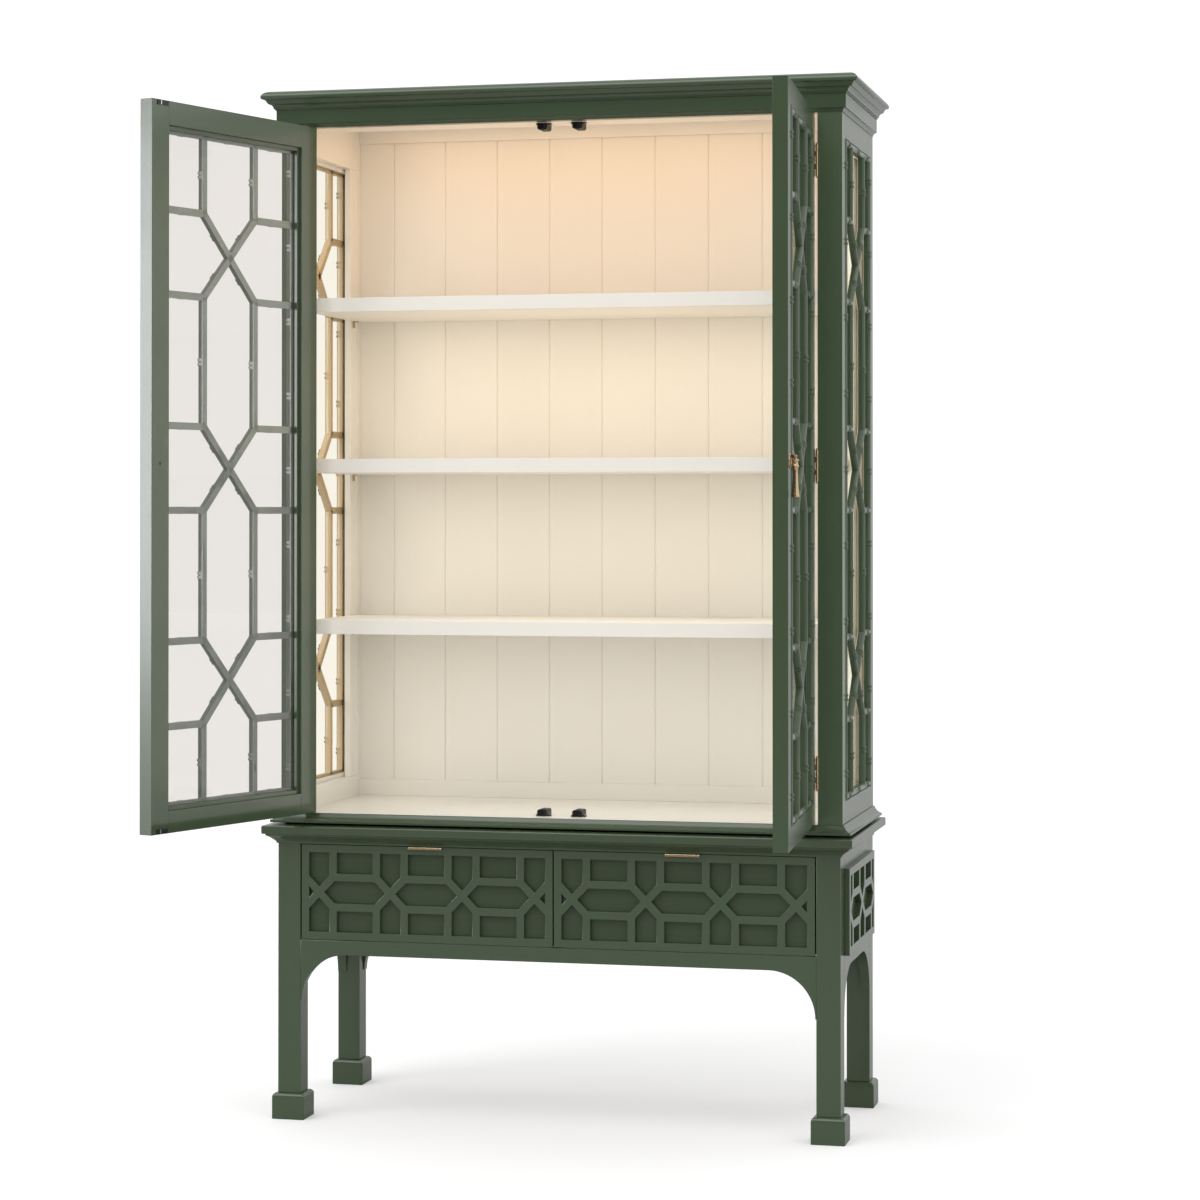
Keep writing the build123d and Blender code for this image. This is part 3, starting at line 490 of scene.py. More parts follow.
def copied(piece, name, change=None):
    """A copy with its own mesh, carried to its place; mirrored copies get their faces turned out again."""
    put_down()
    twin = piece.copy()
    twin.data = piece.data.copy()
    twin.name = name
    bpy.context.scene.collection.objects.link(twin)
    if change is not None:
        twin.data.transform(change)
        if change.determinant() < 0:
            open_mesh(twin)
            close_mesh(twin)
    put_down()
    return twin


def joined(pieces, name):
    """One piece out of several."""
    pick(*pieces)
    if len(pieces) > 1:
        bpy.ops.object.join()
    pieces[0].name = name
    put_down()
    return pieces[0]


def dropped(*pieces):
    """Takes pattern pieces away once their copies are made."""
    put_down()
    for piece in pieces:
        bpy.data.objects.remove(piece)


def finished(piece, finish, body, slot, *replaced):
    """Paints or plates the piece, and hangs it on its body in place of its plain forms."""
    piece.data.materials.clear()
    piece.data.materials.append(FINISHES[finish])
    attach(piece, body)
    if replaced:
        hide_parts(*replaced)
    return piece


def standing_open(side):
    """From a closed right-hand door to where this door stands."""
    hinge = Matrix.Translation(Vector((SIDES[side] * HINGE.x, HINGE.y, 0.0)))
    return hinge @ Matrix.Rotation(OPEN[side], 4, "Z") @ hinge.inverted() @ HANDED[side]


def moved(*place):
    """A shift in millimetres."""
    return Matrix.Translation(Vector(place) * MM)


def turned_to(axis, degrees):
    return Matrix.Rotation(math.radians(degrees), 4, axis)


def cut(piece, cutter):
    """Takes the cutter's form out of the piece."""
    pick(piece)
    saw = piece.modifiers.new("saw", "BOOLEAN")
    saw.operation = "DIFFERENCE"
    saw.solver = "EXACT"
    saw.object = cutter
    bpy.ops.object.modifier_apply(modifier=saw.name)
    dropped(cutter)
    return piece


def slab(name, one, other, ease=0.3):
    """A plate or block between two corners in millimetres, with eased edges."""
    put_down()
    low = Vector([min(pair) for pair in zip(one, other)]) * MM
    high = Vector([max(pair) for pair in zip(one, other)]) * MM
    bpy.ops.mesh.primitive_cube_add(size=1, location=(low + high) / 2)
    piece = bpy.context.object
    piece.name = name
    piece.scale = high - low
    open_mesh(piece)
    close_mesh(piece)
    return rounded(piece, ease * MM) if ease else piece


def turning(name, stations, sides=24):
    """A turned piece about Z. Each station is its height and its radius, in millimetres."""
    put_down()
    (height, radius), *rest = stations
    bpy.ops.mesh.primitive_circle_add(vertices=sides, radius=radius * MM, fill_type="NGON",
                                      location=(0, 0, height * MM))
    piece = bpy.context.object
    piece.name = name
    bpy.ops.object.transform_apply(location=True, rotation=True, scale=True)
    open_mesh(piece)
    for next_height, next_radius in rest:
        rise = (next_height - height) * MM
        bpy.ops.mesh.extrude_region_move(TRANSFORM_OT_translate={"value": (0, 0, rise)})
        share = next_radius / radius
        bpy.ops.transform.resize(value=(share, share, 1), center_override=(0, 0, next_height * MM))
        height, radius = next_height, next_radius
    return close_mesh(piece)


def screw(name, radius, dome):
    """A slotted screw head standing up Z, its slot along X."""
    profile = ((-0.5, radius), (0.1 * dome, radius), (0.7 * dome, 0.75 * radius), (dome, 0.3 * radius))
    head = turning(name, profile, 18)
    slot = slab("slot", (-2 * radius, -0.14 * radius, 0.1 * dome), (2 * radius, 0.14 * radius, 9), 0)
    return cut(head, slot)


# ---------------------------------------------------------------- forms carried over from the frame
def solids_of(mesh):
    """The runs of faces that close up on themselves, one run for each solid."""
    runs, run, loose = [], set(), set()
    for face in mesh.polygons:
        run.add(face.index)
        corners = [tuple(mesh.vertices[number].co) for number in face.vertices]
        loose ^= {frozenset(edge) for edge in zip(corners, corners[1:] + corners[:1]) if edge[0] != edge[1]}
        if not loose:
            runs.append(run)
            run = set()
    return runs + [run] if run else runs


def eased(node, finish, ease=0.8 * MM):
    """The node's own form with the edges of each solid eased, as sanding and paint leave them."""
    source = frame["nodes"][node].data
    solids = []
    for run in solids_of(source):
        piece = bpy.data.objects.new(node + ".solid", source.copy())
        bpy.context.scene.collection.objects.link(piece)
        open_mesh(piece)
        bpy.ops.mesh.customdata_custom_splitnormals_clear()
        bpy.ops.mesh.select_mode(type="FACE")
        bpy.ops.mesh.select_all(action="DESELECT")
        bpy.ops.object.mode_set(mode="OBJECT")
        for face in piece.data.polygons:
            face.select = face.index not in run
        bpy.ops.object.mode_set(mode="EDIT")
        bpy.ops.mesh.delete(type="FACE")
        bpy.ops.mesh.select_mode(type="VERT")
        bpy.ops.mesh.select_all(action="SELECT")
        bpy.ops.mesh.remove_doubles(threshold=0.02 * MM)
        bpy.ops.mesh.dissolve_limited(angle_limit=math.radians(1.0))
        close_mesh(piece)
        solids.append(rounded(piece, ease) if ease else piece)
    return finished(joined(solids, node + ".eased"), finish, BODY_OF[node], SLOT_OF[node], node)


def carry_over():
    """Every plain board, rail, leg and pane. Small pieces are eased less than large ones."""
    for corner in ("front_left", "front_right", "rear_left", "rear_right"):
        eased(f"leg_{corner}", "upright", 1.2 * MM)
    eased("feet", "upright", 1.2 * MM)
    for node in ("front_apron", "rear_apron", "drawer_rails", "base_moulding", "frieze"):
        eased(node, "cross")
    for node in ("side_aprons", "stand_frets"):
        eased(node, "deep")
    eased("header", "header")
    eased("top_board", "case_cross")
    eased("corner_posts", "case_upright", 0.5 * MM)
    eased("side_rails", "case_deep")
    for node, finish in (("case_floor", "case_floor"), ("side_linings", "cream_upright"),
                         ("side_stops", "cream_upright"), ("back_boards", "cream_upright"),
                         ("back_rails", "cream_cross"), ("shelf_lower", "cream_cross"),
                         ("shelf_middle", "cream_cross"), ("shelf_upper", "cream_cross")):
        eased(node, finish, 0.6 * MM)
    eased("drawer_runners", "wood", 0.5 * MM)
    eased("shelf_clips", "brass", 0.3 * MM)
    eased("side_glass", "side_glass", 0.0)
    for side in SIDES:
        eased(f"drawer_front_{side}", "panel")
        eased(f"drawer_fret_{side}", "cross", 0.7 * MM)
        eased(f"drawer_box_{side}", "wood", 0.6 * MM)
        eased(f"drawer_pull_{side}", "brass", 0.3 * MM)
        eased(f"door_frame_{side}", side, 0.5 * MM)
        eased(f"door_stops_{side}", side, 0.6 * MM)
        eased(f"door_glass_{side}", "glass", 0.0)


# ---------------------------------------------------------------- mouldings
def moulding(node, profile, half_width, front):
    """Runs round the front and sides, mitred at the corners.

    The profile lists height above the node's underside and reach past its backing, in millimetres.
    """
    put_down()
    underside = span(node, "Z")[0]
    profile = [(underside + height * MM, reach * MM) for height, reach in profile]
    (height, reach), *rest = profile + profile[:1]
    bpy.ops.mesh.primitive_plane_add(size=1, location=(0, (front - reach + REAR) / 2, height))
    run = bpy.context.object
    run.name = node + ".run"
    run.scale = (2 * (half_width + reach), REAR - front + reach, 1)
    bpy.ops.object.transform_apply(location=True, rotation=True, scale=True)
    open_mesh(run)
    choose_edges(run, lambda a, b: min(a.y, b.y) > REAR - MM)
    bpy.ops.mesh.delete(type="EDGE")
    bpy.ops.mesh.select_all(action="SELECT")
    for next_height, next_reach in rest:
        bpy.ops.mesh.extrude_region_move(TRANSFORM_OT_translate={"value": (0, 0, next_height - height)})
        wider = (half_width + next_reach) / (half_width + reach)
        deeper = (REAR - front + next_reach) / (REAR - front + reach)
        bpy.ops.transform.resize(value=(wider, deeper, 1), center_override=(0, REAR, next_height))
        height, reach = next_height, next_reach
    bpy.ops.mesh.select_all(action="SELECT")
    bpy.ops.mesh.remove_doubles(threshold=0.01 * MM)
    bpy.ops.mesh.select_all(action="SELECT")
    bpy.ops.mesh.fill_holes(sides=0)
    close_mesh(run)
    return finished(rounded(run, 0.4 * MM, 25.0), "cross", "cabinet", "green_paint", node)


def swept(low, high, inner, outer, steps=7):
    """Stations of an elliptical quarter round, from its low outer corner to its high inner one."""
    turns = [math.radians(90) * step / steps for step in range(steps + 1)]
    return [(low + (high - low) * math.sin(turn), inner + (outer - inner) * math.cos(turn)) for turn in turns]


def mouldings():
    """The cornice with its thick nose, the stand's top board and the moulding under it."""
    fillet = [(0.0, 0.0), (0.0, 11.0), (3.0, 11.0), (3.0, 14.0)]
    cove = [(6.0, 14.0), (8.2, 14.9), (10.4, 17.0), (12.3, 20.5)]
    band = [(12.3, 22.5), (21.0, 28.0)]
    under = [(21.0, 31.2), (22.0, 33.6), (23.5, 35.0)]
    nose = swept(25.5, 39.0, 15.5, 35.5)
    moulding("cornice", fillet + cove + band + under + nose + [(39.0, 0.0)], CASE_SIDE, CASE_FRONT)
    moulding("bed_moulding", [(0.0, 0.0), (0.0, 3.0), (3.0, 3.0), (7.5, 7.2), (12.5, 13.2), (17.0, 21.0),
                              (20.0, 21.0), (20.0, 0.0)], STAND_SIDE, STAND_FRONT)
    low, high = (Vector(corner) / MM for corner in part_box("stand_top"))
    board = slab("stand_top.board", low, high, 0)
    board = rolled(board, 3.4, lambda a, b: abs(a.z - b.z) < MM and min(a.y, b.y) < REAR - MM, 4)
    finished(board, "cross", "cabinet", "green_paint", "stand_top")


# ---------------------------------------------------------------- bamboo frets
# A cane: half its width, its straight flanks, the round on top of them, and how much that round draws in.
CANE_HALF = 7 * MM
CANE_BASE = 9 * MM
CANE_ROUND = 5.5 * MM
CANE_NECK = 0.9
# The lattice: between its two uprights, from one crossing to the next, and from knot to knot of its border.
CANE_COLUMN = 0.1655
CANE_PITCH = 0.422
EDGE_KNOT_PITCH = 0.153
# Half of a knot in millimetres: how far along the cane from its middle, and how proud of it.
KNOT_HALF = ((9.0, 0.0), (7.0, 0.7), (6.2, 2.3), (4.2, 2.7), (2.4, 2.2), (1.4, 0.4))
KNOT_RINGS = [(way * along, proud) for way in (-1, 1) for along, proud in KNOT_HALF]


def cane_stick(name, length, knots):
    """Split bamboo lying along X: flat at the back, rounded in front, with a pair of rings at each knot."""
    put_down()
    bpy.ops.mesh.primitive_circle_add(vertices=12, radius=CANE_HALF, fill_type="NGON",
                                      rotation=(math.radians(90), 0, math.radians(90)))
    stick = bpy.context.object
    stick.name = name
    bpy.ops.object.transform_apply(location=True, rotation=True, scale=True)
    open_mesh(stick)
    choose(stick, lambda spot: spot.z > 0.1 * MM)
    bpy.ops.transform.resize(value=(1, CANE_NECK, CANE_ROUND / CANE_HALF), center_override=(0, 0, 0))
    choose(stick, lambda spot: spot.z < -0.1 * MM)
    bpy.ops.transform.resize(value=(1, 1 / math.cos(math.radians(30)), 0), center_override=(0, 0, 0))
    bpy.ops.transform.translate(value=(0, 0, -CANE_BASE))
    choose(stick, lambda spot: spot.z < -0.1 * MM and abs(spot.y) < 0.9 * CANE_HALF)
    bpy.ops.mesh.dissolve_verts()
    bpy.ops.mesh.select_all(action="SELECT")
    reached = 0.0
    rings = sorted((place * length + along * MM, proud) for place in knots for along, proud in KNOT_RINGS)
    for station, _ in rings + [(length, 0.0)]:
        bpy.ops.mesh.extrude_region_move(TRANSFORM_OT_translate={"value": (station - reached, 0, 0)})
        reached = station
    for station, proud in rings:
        if proud:
            swell = 1 + proud * MM / CANE_HALF
            choose(stick, lambda spot: abs(spot.x - station) < 0.05 * MM and spot.z > 0.1 * MM)
            bpy.ops.transform.resize(value=(1, swell, swell), center_override=(station, 0, 0))
    return close_mesh(stick, 40.0)


def cane_lattice(name, width):
    """Bamboo lattice lying on the XY plane: two uprights that cross over in three squares, in a border."""
    edge_x, edge_y, half = width / 2 - CANE_HALF, LIGHT_H / 2 - CANE_HALF, CANE_COLUMN / 2
    crossings = (-CANE_PITCH, 0.0, CANE_PITCH)
    levels = [-edge_y] + [middle + way * half for middle in crossings for way in (-1, 1)] + [edge_y]
    runs = {}

    def lay(kind, start, end, knots):
        """Notes a cane, with the others of its kind and length."""
        runs.setdefault((kind, round(math.dist(start, end), 5), tuple(knots)), []).append((start, end))

    edge_knots = [0.5 + number * EDGE_KNOT_PITCH / LIGHT_H for number in range(-4, 5)]
    for x in (-edge_x, edge_x):
        lay("border", (x, -LIGHT_H / 2), (x, LIGHT_H / 2), edge_knots)
    bay = (edge_x + half) / (4 * edge_x)
    for y in (-edge_y, edge_y):
        lay("rail", (-edge_x, y), (edge_x, y), (0.5 - bay, 0.5, 0.5 + bay))
    for x in (-half, half):
        for low, high in zip(levels[::2], levels[1::2]):
            lay("upright", (x, low), (x, high), (0.5,))
        for level in levels[1:-1]:
            lay("tie", (x, level), (math.copysign(edge_x, x), level), (0.5,))
    for middle in crossings:
        lay("cross", (-half, middle - half), (half, middle + half), (0.25, 0.75))
        lay("cross", (-half, middle + half), (half, middle - half), (0.25, 0.75))
    sticks = []
    for (kind, length, knots), places in runs.items():
        pattern = cane_stick(f"{name}.{kind}", length, knots)
        for number, (start, end) in enumerate(places):
            turn = math.atan2(end[1] - start[1], end[0] - start[0])
            change = Matrix.Translation(Vector((*start, CANE_BASE))) @ Matrix.Rotation(turn, 4, "Z")
            sticks.append(copied(pattern, f"{name}.{kind}.{number}", change))
        dropped(pattern)
    return joined(sticks, name)


def bamboo_frets():
    """One lattice for the two doors and one for the two sides, each lying on its glass."""
    door = cane_lattice("door_lattice", DOOR_LIGHT_W * MM)
    facing_front = moved(DOOR_LIGHT_X, DOOR_GLASS_FACE, LIGHT_Z / MM) @ turned_to("X", 90)
    for side in SIDES:
        fret = copied(door, f"door_fret_{side}.cane", standing_open(side) @ facing_front)
        finished(fret, f"door_fret_{side}", f"{side}_door", "green_paint", f"door_fret_{side}")
    dropped(door)
    case = cane_lattice("case_lattice", SIDE_LIGHT_REAR - SIDE_LIGHT_FRONT)
    middle = Vector((GLASS_FACE, (SIDE_LIGHT_FRONT + SIDE_LIGHT_REAR) / 2, LIGHT_Z))
    width_to_y_height_to_z = Matrix(((0, 0, 1, 0), (1, 0, 0, 0), (0, 1, 0, 0), (0, 0, 0, 1)))
    facing_right = Matrix.Translation(middle) @ width_to_y_height_to_z
    for side in SIDES:
        fret = copied(case, f"side_fret_{side}.cane", HANDED[side] @ facing_right)
        finished(fret, f"side_fret_{side}", "cabinet", "green_paint", f"side_fret_{side}")
    dropped(case)


# ---------------------------------------------------------------- ironmongery, in millimetres
HINGE_ZS = (735.0, 1350.0, 1962.0)
HINGE_HALF = 32.0
KNUCKLE_LENGTH = 12.48
KNUCKLE_PITCH = 12.88
LEAF_FACES = (0.75, 2.25)
LEAF_EDGES = (3.3, 27.3)
LEAF_SCREWS = ((11.0, -22.0), (20.0, 0.0), (11.0, 22.0))

# A closed right-hand door's pull: the pin that its drop swings on, and the rosette behind it.
PIVOT = (27.5, -212.5, 1360.0)
ROSETTE_Z = 1352.0
ROSETTE_TURNING = ((0.0, 14.0), (0.9, 14.0), (1.6, 13.5), (2.2, 12.4), (2.6, 10.6), (3.0, 9.0))
PIN_TURNING = ((-7.9, 1.0), (-7.5, 1.9), (-6.5, 2.2), (-6.4, 1.5), (6.4, 1.5), (6.5, 2.2), (7.5, 1.9),
               (7.9, 1.0))
EYE_TURNING = ((-3.4, 2.9), (-3.0, 3.4), (3.0, 3.4), (3.4, 2.9))
DROP_TURNING = ((-2.0, 2.6), (-4.4, 2.8), (-4.8, 5.6), (-5.4, 6.6), (-6.4, 6.95), (-7.6, 6.7), (-8.6, 5.9),
                (-9.4, 5.5), (-12.0, 5.2), (-15.0, 5.4), (-16.2, 6.2), (-17.3, 6.9), (-18.8, 6.9),
                (-19.9, 6.2), (-20.8, 5.5), (-24.0, 5.1), (-34.0, 4.95), (-46.0, 5.2), (-56.0, 5.7),
                (-64.0, 6.4), (-70.0, 7.3), (-73.2, 7.9), (-74.2, 7.8), (-74.9, 7.0), (-75.6, 5.0),
                (-75.8, 1.0))

# The catches stand on the case's floor and hang from its header, a pair of each.
CATCH_X = 37.0
CATCH_FRONT = span("catches", "Y")[0] / MM
CATCH_ZS = [height / MM for height in span("catches", "Z")]
CATCH_WIDTH, CATCH_DEPTH, CATCH_HEIGHT = 21.0, 38.0, 14.0
DISH_RADIUS = 5.8
DISH_Z = 6.9
DISH_TURNING = ((-2.6, 5.8), (-0.1, 5.8), (0.2, 5.5), (0.2, 5.0), (-2.2, 4.1), (-2.2, 1.9), (-0.4, 1.6),
                (-0.1, 0.9))
EAR_SPAN, EAR_FRONT, EAR_REAR, EAR_THICK = 32.0, 8.0, 22.0, 2.5
EAR_SCREW_X = 13.1

# The plates on a closed right-hand door that the catches hold: their undersides, ends and height.
STRIKE_ZS = (636.0, 2046.0)
STRIKE_XS = (17.0, 50.5)
STRIKE_HEIGHT = 9.5
STRIKE_RIB_XS = (26.9, 29.9)


def hinge_side(name, way, knuckles):
    """One side of a butt hinge about its pin: knuckles, leaf and screws; way is 1 for the case's side."""
    near, far = (way * face for face in LEAF_FACES)
    barrel = turning("barrel", ((0.0, 2.5), (0.4, 3.0), (KNUCKLE_LENGTH - 0.4, 3.0),
                                (KNUCKLE_LENGTH, 2.5)), 28)
    parts = []
    for number in knuckles:
        low = KNUCKLE_PITCH * number - HINGE_HALF
        parts.append(copied(barrel, "knuckle", moved(0, 0, low)))
        parts.append(slab("flange", (near, 0.6, low), (far, 3.6, low + KNUCKLE_LENGTH), 0.15))
    parts.append(slab("leaf", (near, LEAF_EDGES[0], -HINGE_HALF), (far, LEAF_EDGES[1], HINGE_HALF), 0.25))
    head = screw("head", 3.2, 0.3)
    for y, z in LEAF_SCREWS:
        parts.append(copied(head, "screw", moved(near, y, z) @ turned_to("Y", -way * 90)))
    dropped(barrel, head)
    if way == 1:
        tip = turning("tip", ((31.5, 1.6), (32.3, 1.6), (32.8, 2.4), (33.7, 2.7), (34.7, 2.4), (35.4, 1.4)))
        parts += [copied(tip, "lower_tip", UPSIDE_DOWN), tip]
    return joined(parts, name)


def hinges():
    """Three butt hinges to a door. The case's side of each has three of its five knuckles, and the tips."""
    case_side = hinge_side("case_hinge", 1, (0, 2, 4))
    door_side = hinge_side("door_hinge", -1, (1, 3))
    places = [Matrix.Translation(HINGE) @ moved(0, 0, z) for z in HINGE_ZS]
    leaves = [copied(case_side, "leaf", mirror @ place) for mirror in (AS_IT_IS, MIRROR) for place in places]
    finished(joined(leaves, "case_hinge_leaves.brass"), "brass", "cabinet", "brass", "case_hinge_leaves")
    for side in SIDES:
        leaves = [copied(door_side, "leaf", standing_open(side) @ place) for place in places]
        node = f"door_hinge_leaves_{side}"
        finished(joined(leaves, node + ".brass"), "brass", f"{side}_door", "brass", node)
    dropped(case_side, door_side)


def drop_pulls():
    """A rosette with two cheeks and a cross pin, and the turned drop that swings on it."""
    rosette = turning("rosette", ROSETTE_TURNING, 48)
    plate = [copied(rosette, "plate", moved(PIVOT[0], DOOR_FACE, ROSETTE_Z) @ turned_to("X", 90))]
    dropped(rosette)
    for way in (-1, 1):
        cheek = slab("cheek", (way * 4.0, -3.0, -3.5), (way * 6.5, 7.8, 3.5), 0)
        cheek = rolled(cheek, 2.6, lambda a, b: max(a.y, b.y) < -2.9 * MM and a.z * b.z > 0)
        plate.append(copied(rounded(cheek, 0.3 * MM), "cheek", moved(*PIVOT)))
        dropped(cheek)
    pin = turning("pin", PIN_TURNING)
    plate.append(copied(pin, "cross_pin", moved(*PIVOT) @ turned_to("Y", 90)))
    plate = joined(plate, "plate")

    eye = turning("eye", EYE_TURNING, 28)
    drop = [copied(eye, "eye", turned_to("Y", 90)), turning("shank", DROP_TURNING, 40)]
    drop = joined(drop, "drop")
    for side in SIDES:
        there = standing_open(side)
        finished(copied(plate, f"pull_plate_{side}.brass", there), "brass", f"{side}_door", "brass",
                 f"pull_plate_{side}")
        finished(copied(drop, f"pull_drop_{side}.brass", there @ moved(*PIVOT)), "brass", f"{side}_drop",
                 "brass", f"pull_drop_{side}")
    dropped(pin, eye, plate, drop)


def catch_case():
    """A black case with a dished round face, a rib on top and two ears, standing behind the origin."""
    case = rolled(slab("case", (-CATCH_WIDTH / 2, 0.0, 0.0), (CATCH_WIDTH / 2, CATCH_DEPTH, CATCH_HEIGHT), 0),
                  4.6, lambda a, b: min(a.z, b.z) > (CATCH_HEIGHT - 0.1) * MM and a.x * b.x > 0)
    facing = moved(0.0, 0.0, DISH_Z) @ turned_to("X", 90)
    bore = turning("bore", ((-2.6, DISH_RADIUS), (9.0, DISH_RADIUS)), 32)
    case = rounded(cut(case, copied(bore, "cutter", facing)), 0.4 * MM)
    dish = turning("dish", DISH_TURNING, 32)
    rib = slab("rib", (-1.7, 1.5, CATCH_HEIGHT - 0.8), (1.7, 30.0, CATCH_HEIGHT + 1.2), 0.5)
    ears = slab("ears", (-EAR_SPAN / 2, EAR_FRONT, 0.0), (EAR_SPAN / 2, EAR_REAR, EAR_THICK), 0)
    ears = rounded(rolled(ears, 4.5, lambda a, b: abs(a.z - b.z) > MM, 4), 0.4 * MM)
    catch = joined([case, copied(dish, "dish", facing), rib, ears], "catch")
    dropped(bore, dish)
    return catch


def magnetic_catches():
    """Four catches, each with a bright screw through either ear."""
    catch = catch_case()
    head = screw("head", 2.5, 1.3)
    cases, screws = [], []
    for z, upright in zip(CATCH_ZS, (AS_IT_IS, UPSIDE_DOWN)):
        for way in (-1, 1):
            place = moved(way * CATCH_X, CATCH_FRONT, z) @ upright
            cases.append(copied(catch, "case", place))
            for x in (-EAR_SCREW_X, EAR_SCREW_X):
                at_ear = moved(x, (EAR_FRONT + EAR_REAR) / 2, EAR_THICK)
                screws.append(copied(head, "screw", place @ at_ear))
    dropped(catch, head)
    finished(joined(cases, "catches.black"), "catch", "cabinet", "black_metal", "catches")
    finished(joined(screws, "catches.screws"), "steel", "cabinet", "black_metal")


def door_strikes():
    """The plates that the catches hold, each with a bright rib, and the screw behind each drop pull."""
    plates, ribs = [], []
    for z in STRIKE_ZS:
        plates.append(slab("plate", (STRIKE_XS[0], DOOR_BACK, z),
                           (STRIKE_XS[1], DOOR_BACK + 1.5, z + STRIKE_HEIGHT), 0.3))
        ribs.append(slab("rib", (STRIKE_RIB_XS[0], DOOR_BACK, z + 0.5),
                         (STRIKE_RIB_XS[1], DOOR_BACK + 1.7, z + STRIKE_HEIGHT - 0.5), 0.3))
    plates = joined(plates, "strikes")
    ribs = joined(ribs, "ribs")
    head = screw("head", 3.3, 0.6)
    for side in SIDES:
        there = standing_open(side)
        finished(copied(plates, f"door_strikes_{side}.black", there), "catch", f"{side}_door", "black_metal",
                 f"door_strikes_{side}")
        finished(copied(ribs, f"door_strikes_{side}.rib", there), "steel", f"{side}_door", "black_metal")
        back = there @ moved(PIVOT[0], DOOR_BACK, ROSETTE_Z) @ turned_to("X", -90)
        finished(copied(head, f"pull_screw_{side}", back), "catch", f"{side}_door", "black_metal")
    dropped(plates, ribs, head)


# ---------------------------------------------------------------- studio
# The light of the surroundings, what it loses ahead of the cabinet and behind it, and the backdrop's own.
AROUND, LESS_AHEAD, LESS_BEHIND = 1.15, 0.06, 0.86
BACKDROP = 1.12
WARM, WHITE, COOL = (1.0, 0.60, 0.30), (1.0, 1.0, 1.0), (0.94, 0.94, 1.0)

# Lamps that stand in for light bounced about inside the case: place, aim, size, watts and colour.
INSIDE_LAMPS = {
    "top": ((0.0, 0.02, 2.10), (0.0, 0.06, 1.0), (0.95, 0.25), 0.95, WARM),
    "upper": ((0.0, -0.02, 1.670), (0.0, 0.04, 1.0), (0.95, 0.20), 0.85, (1.0, 0.80, 0.58)),
    "middle": ((0.0, -0.02, 1.334), (0.0, 0.04, 0.8), (0.95, 0.20), 0.65, (1.0, 0.90, 0.75)),
    "lower": ((0.0, -0.02, 0.997), (0.0, 0.04, 0.6), (0.95, 0.20), 0.42, (1.0, 0.97, 0.92)),
    "under_top": ((0.0, -0.05, 1.72), (0.0, 0.0, 3.0), (0.9, 0.15), 0.25, (1.0, 0.75, 0.50)),
    "under_upper": ((0.0, -0.08, 1.385), (0.0, 0.0, 3.0), (0.9, 0.12), 0.35, (1.0, 0.82, 0.62)),
    "under_middle": ((0.0, -0.08, 1.05), (0.0, 0.0, 3.0), (0.9, 0.12), 0.35, (1.0, 0.88, 0.72)),
    "under_lower": ((0.0, -0.08, 0.65), (0.0, 0.0, 3.0), (0.9, 0.12), 0.30, (1.0, 0.93, 0.82)),
    "right": ((0.53, 0.10, LIGHT_Z), (1.48, 0.40, LIGHT_Z), (0.06, 1.3), 0.6, (0.72, 0.88, 1.0)),
}


def area_light(name, place, towards, size, power, colour=WHITE):
    """A flat lamp that the camera doesn't see."""
    put_down()
    bpy.ops.object.light_add(type="AREA", location=place)
    lamp = bpy.context.object
    lamp.name = name
    lamp.data.shape = "RECTANGLE"
    lamp.data.size, lamp.data.size_y = size
    lamp.data.energy = power
    lamp.data.color = colour
    lamp.rotation_euler = (Vector(towards) - Vector(place)).to_track_quat("-Z", "Y").to_euler()
    lamp.visible_camera = False
    return lamp


def surroundings():
    """White all round, slightly dimmer ahead and more so behind, with a plain white backdrop."""
    world = bpy.data.worlds.new("white_studio")
    bpy.context.scene.world = world
    around = Finish("white_studio", world)
    back = around.axes(around.place())[1]
    ahead = (0.0 - back).at_least(0.0)
    behind = (back - 0.5).at_least(0.0)
    lit = AROUND - ahead * LESS_AHEAD - behind * LESS_BEHIND
    seen = around.node("ShaderNodeLightPath")
    strength = around.value_mix(seen, lit, BACKDROP)
    backdrop = around.node("ShaderNodeBackground", None, {"Color": (1, 1, 1, 1), "Strength": strength})
    output = around.tree.nodes.new("ShaderNodeOutputWorld")
    around.tree.links.new(backdrop.socket, output.inputs["Surface"])


def studio_floor():
    """A white floor that glows a little where the camera sees it, so that it meets the backdrop unseen."""
    put_down()
    bpy.ops.mesh.primitive_grid_add(x_subdivisions=8, y_subdivisions=8, size=60, location=(0, 0, 0))
    floor = bpy.context.object
    floor.name = "studio_floor"
    finish = Finish("studio_floor")
    grain = finish.noise(finish.place(), 3.0, detail=3.0)
    white = finish.mix(grain, (0.645, 0.645, 0.645, 1.0), (0.665, 0.665, 0.665, 1.0))
    seen = finish.node("ShaderNodeLightPath")
    colour = finish.mix(seen, (0.50, 0.50, 0.50, 1.0), white)
    glow = finish.mix(seen, (0.0, 0.0, 0.0, 1.0), (0.27, 0.27, 0.27, 1.0))
    floor.data.materials.append(finish.solid(colour, 0.7 + grain * 0.1, Specular_IOR_Level=0.2,
                                             Emission_Color=glow, Emission_Strength=1.0))
    return floor


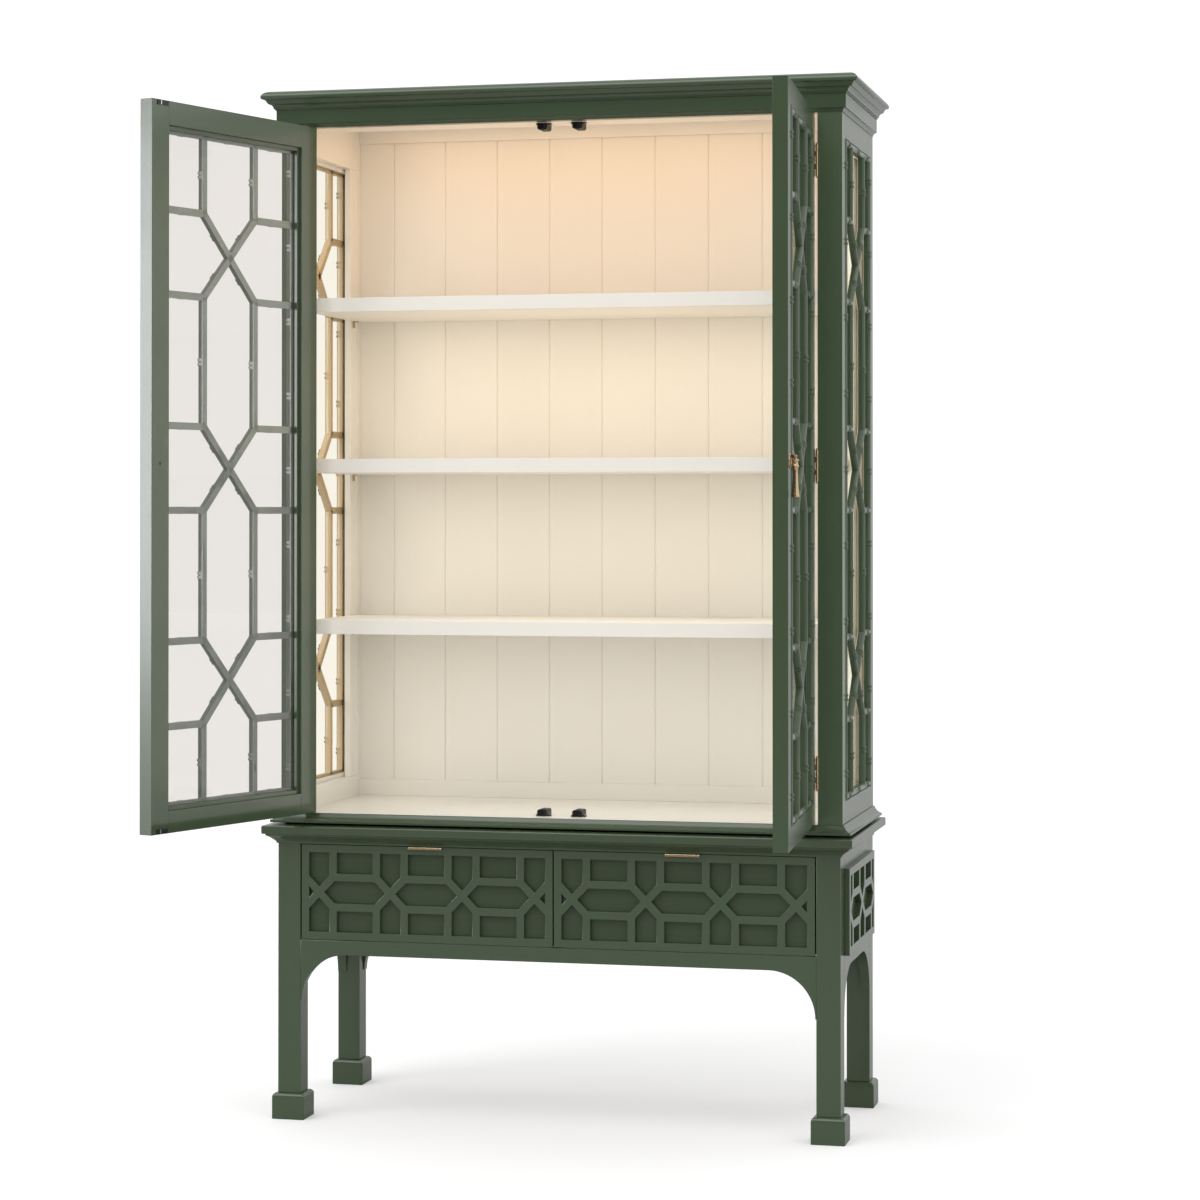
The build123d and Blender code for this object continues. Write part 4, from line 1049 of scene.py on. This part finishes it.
def black_card():
    """A card behind the camera, seen only in reflections, that keeps them dark."""
    put_down()
    bpy.ops.mesh.primitive_grid_add(x_subdivisions=4, y_subdivisions=4, size=1, location=(0.2, -7.6, 2.0),
                                    rotation=(math.radians(-90), 0, 0))
    card = bpy.context.object
    card.name = "black_card"
    card.scale = (9.0, 4.0, 1.0)
    finish = Finish("black_card")
    weave = finish.noise(finish.place(), 300.0)
    black = finish.mix(weave, (0.01, 0.01, 0.01, 1), (0.03, 0.03, 0.03, 1))
    card.data.materials.append(finish.solid(black, 0.9))
    card.visible_camera = card.visible_diffuse = card.visible_shadow = card.visible_transmission = False
    return card


def lamps():
    """Soft light from above, a key and its gleam from the left, a fill from the right, and those inside."""
    put_down()
    downwards = Vector((0.24, 0.58, -0.88)).to_track_quat("-Z", "Y").to_euler()
    bpy.ops.object.light_add(type="SUN", rotation=downwards)
    over = bpy.context.object
    over.name = "over"
    over.data.energy = 0.85
    over.data.angle = math.radians(36)
    area_light("key", (-4.6, -3.5, 1.6), (-0.7, -0.7, 1.4), (1.6, 3.4), 45)
    gleam = area_light("gleam", (-4.6, -3.45, 1.67), (-0.7, -0.7, 1.55), (1.4, 1.9), 90, COOL)
    gleam.visible_diffuse = False
    # The sheen hangs close to the left door's inner face, and lights only its gloss.
    sheen = area_light("sheen", (-0.558, -0.473, 1.36), (-1.512, -0.172, 1.36), (0.557, 1.42), 2.2)
    sheen.visible_diffuse = False
    fill = area_light("side_fill", (3.3, -3.2, 1.7), (0.55, -0.2, 1.3), (1.5, 2.2), 19)
    fill.visible_glossy = False
    for name, settings in INSIDE_LAMPS.items():
        area_light("inside_" + name, *settings).visible_glossy = False


def camera():
    """A long lens from the front right, shifted to take in the whole cabinet."""
    put_down()
    bpy.ops.object.camera_add(location=(1.5242, -6.2644, 1.2566),
                              rotation=(math.radians(90.51), 0.0, math.radians(13.43)))
    view = bpy.context.object
    view.data.sensor_fit = "HORIZONTAL"
    view.data.sensor_width = 36.0
    view.data.lens = 91.85
    view.data.shift_x = 0.0064
    view.data.shift_y = -0.0955
    bpy.context.scene.camera = view


def studio():
    """The stage: white surroundings, floor and card, then the lamps and the camera."""
    surroundings()
    bpy.context.scene.view_settings.view_transform = "Standard"
    studio_floor()
    black_card()
    lamps()
    camera()


carry_over()
mouldings()
bamboo_frets()
hinges()
drop_pulls()
magnetic_catches()
door_strikes()
studio()
put_down()
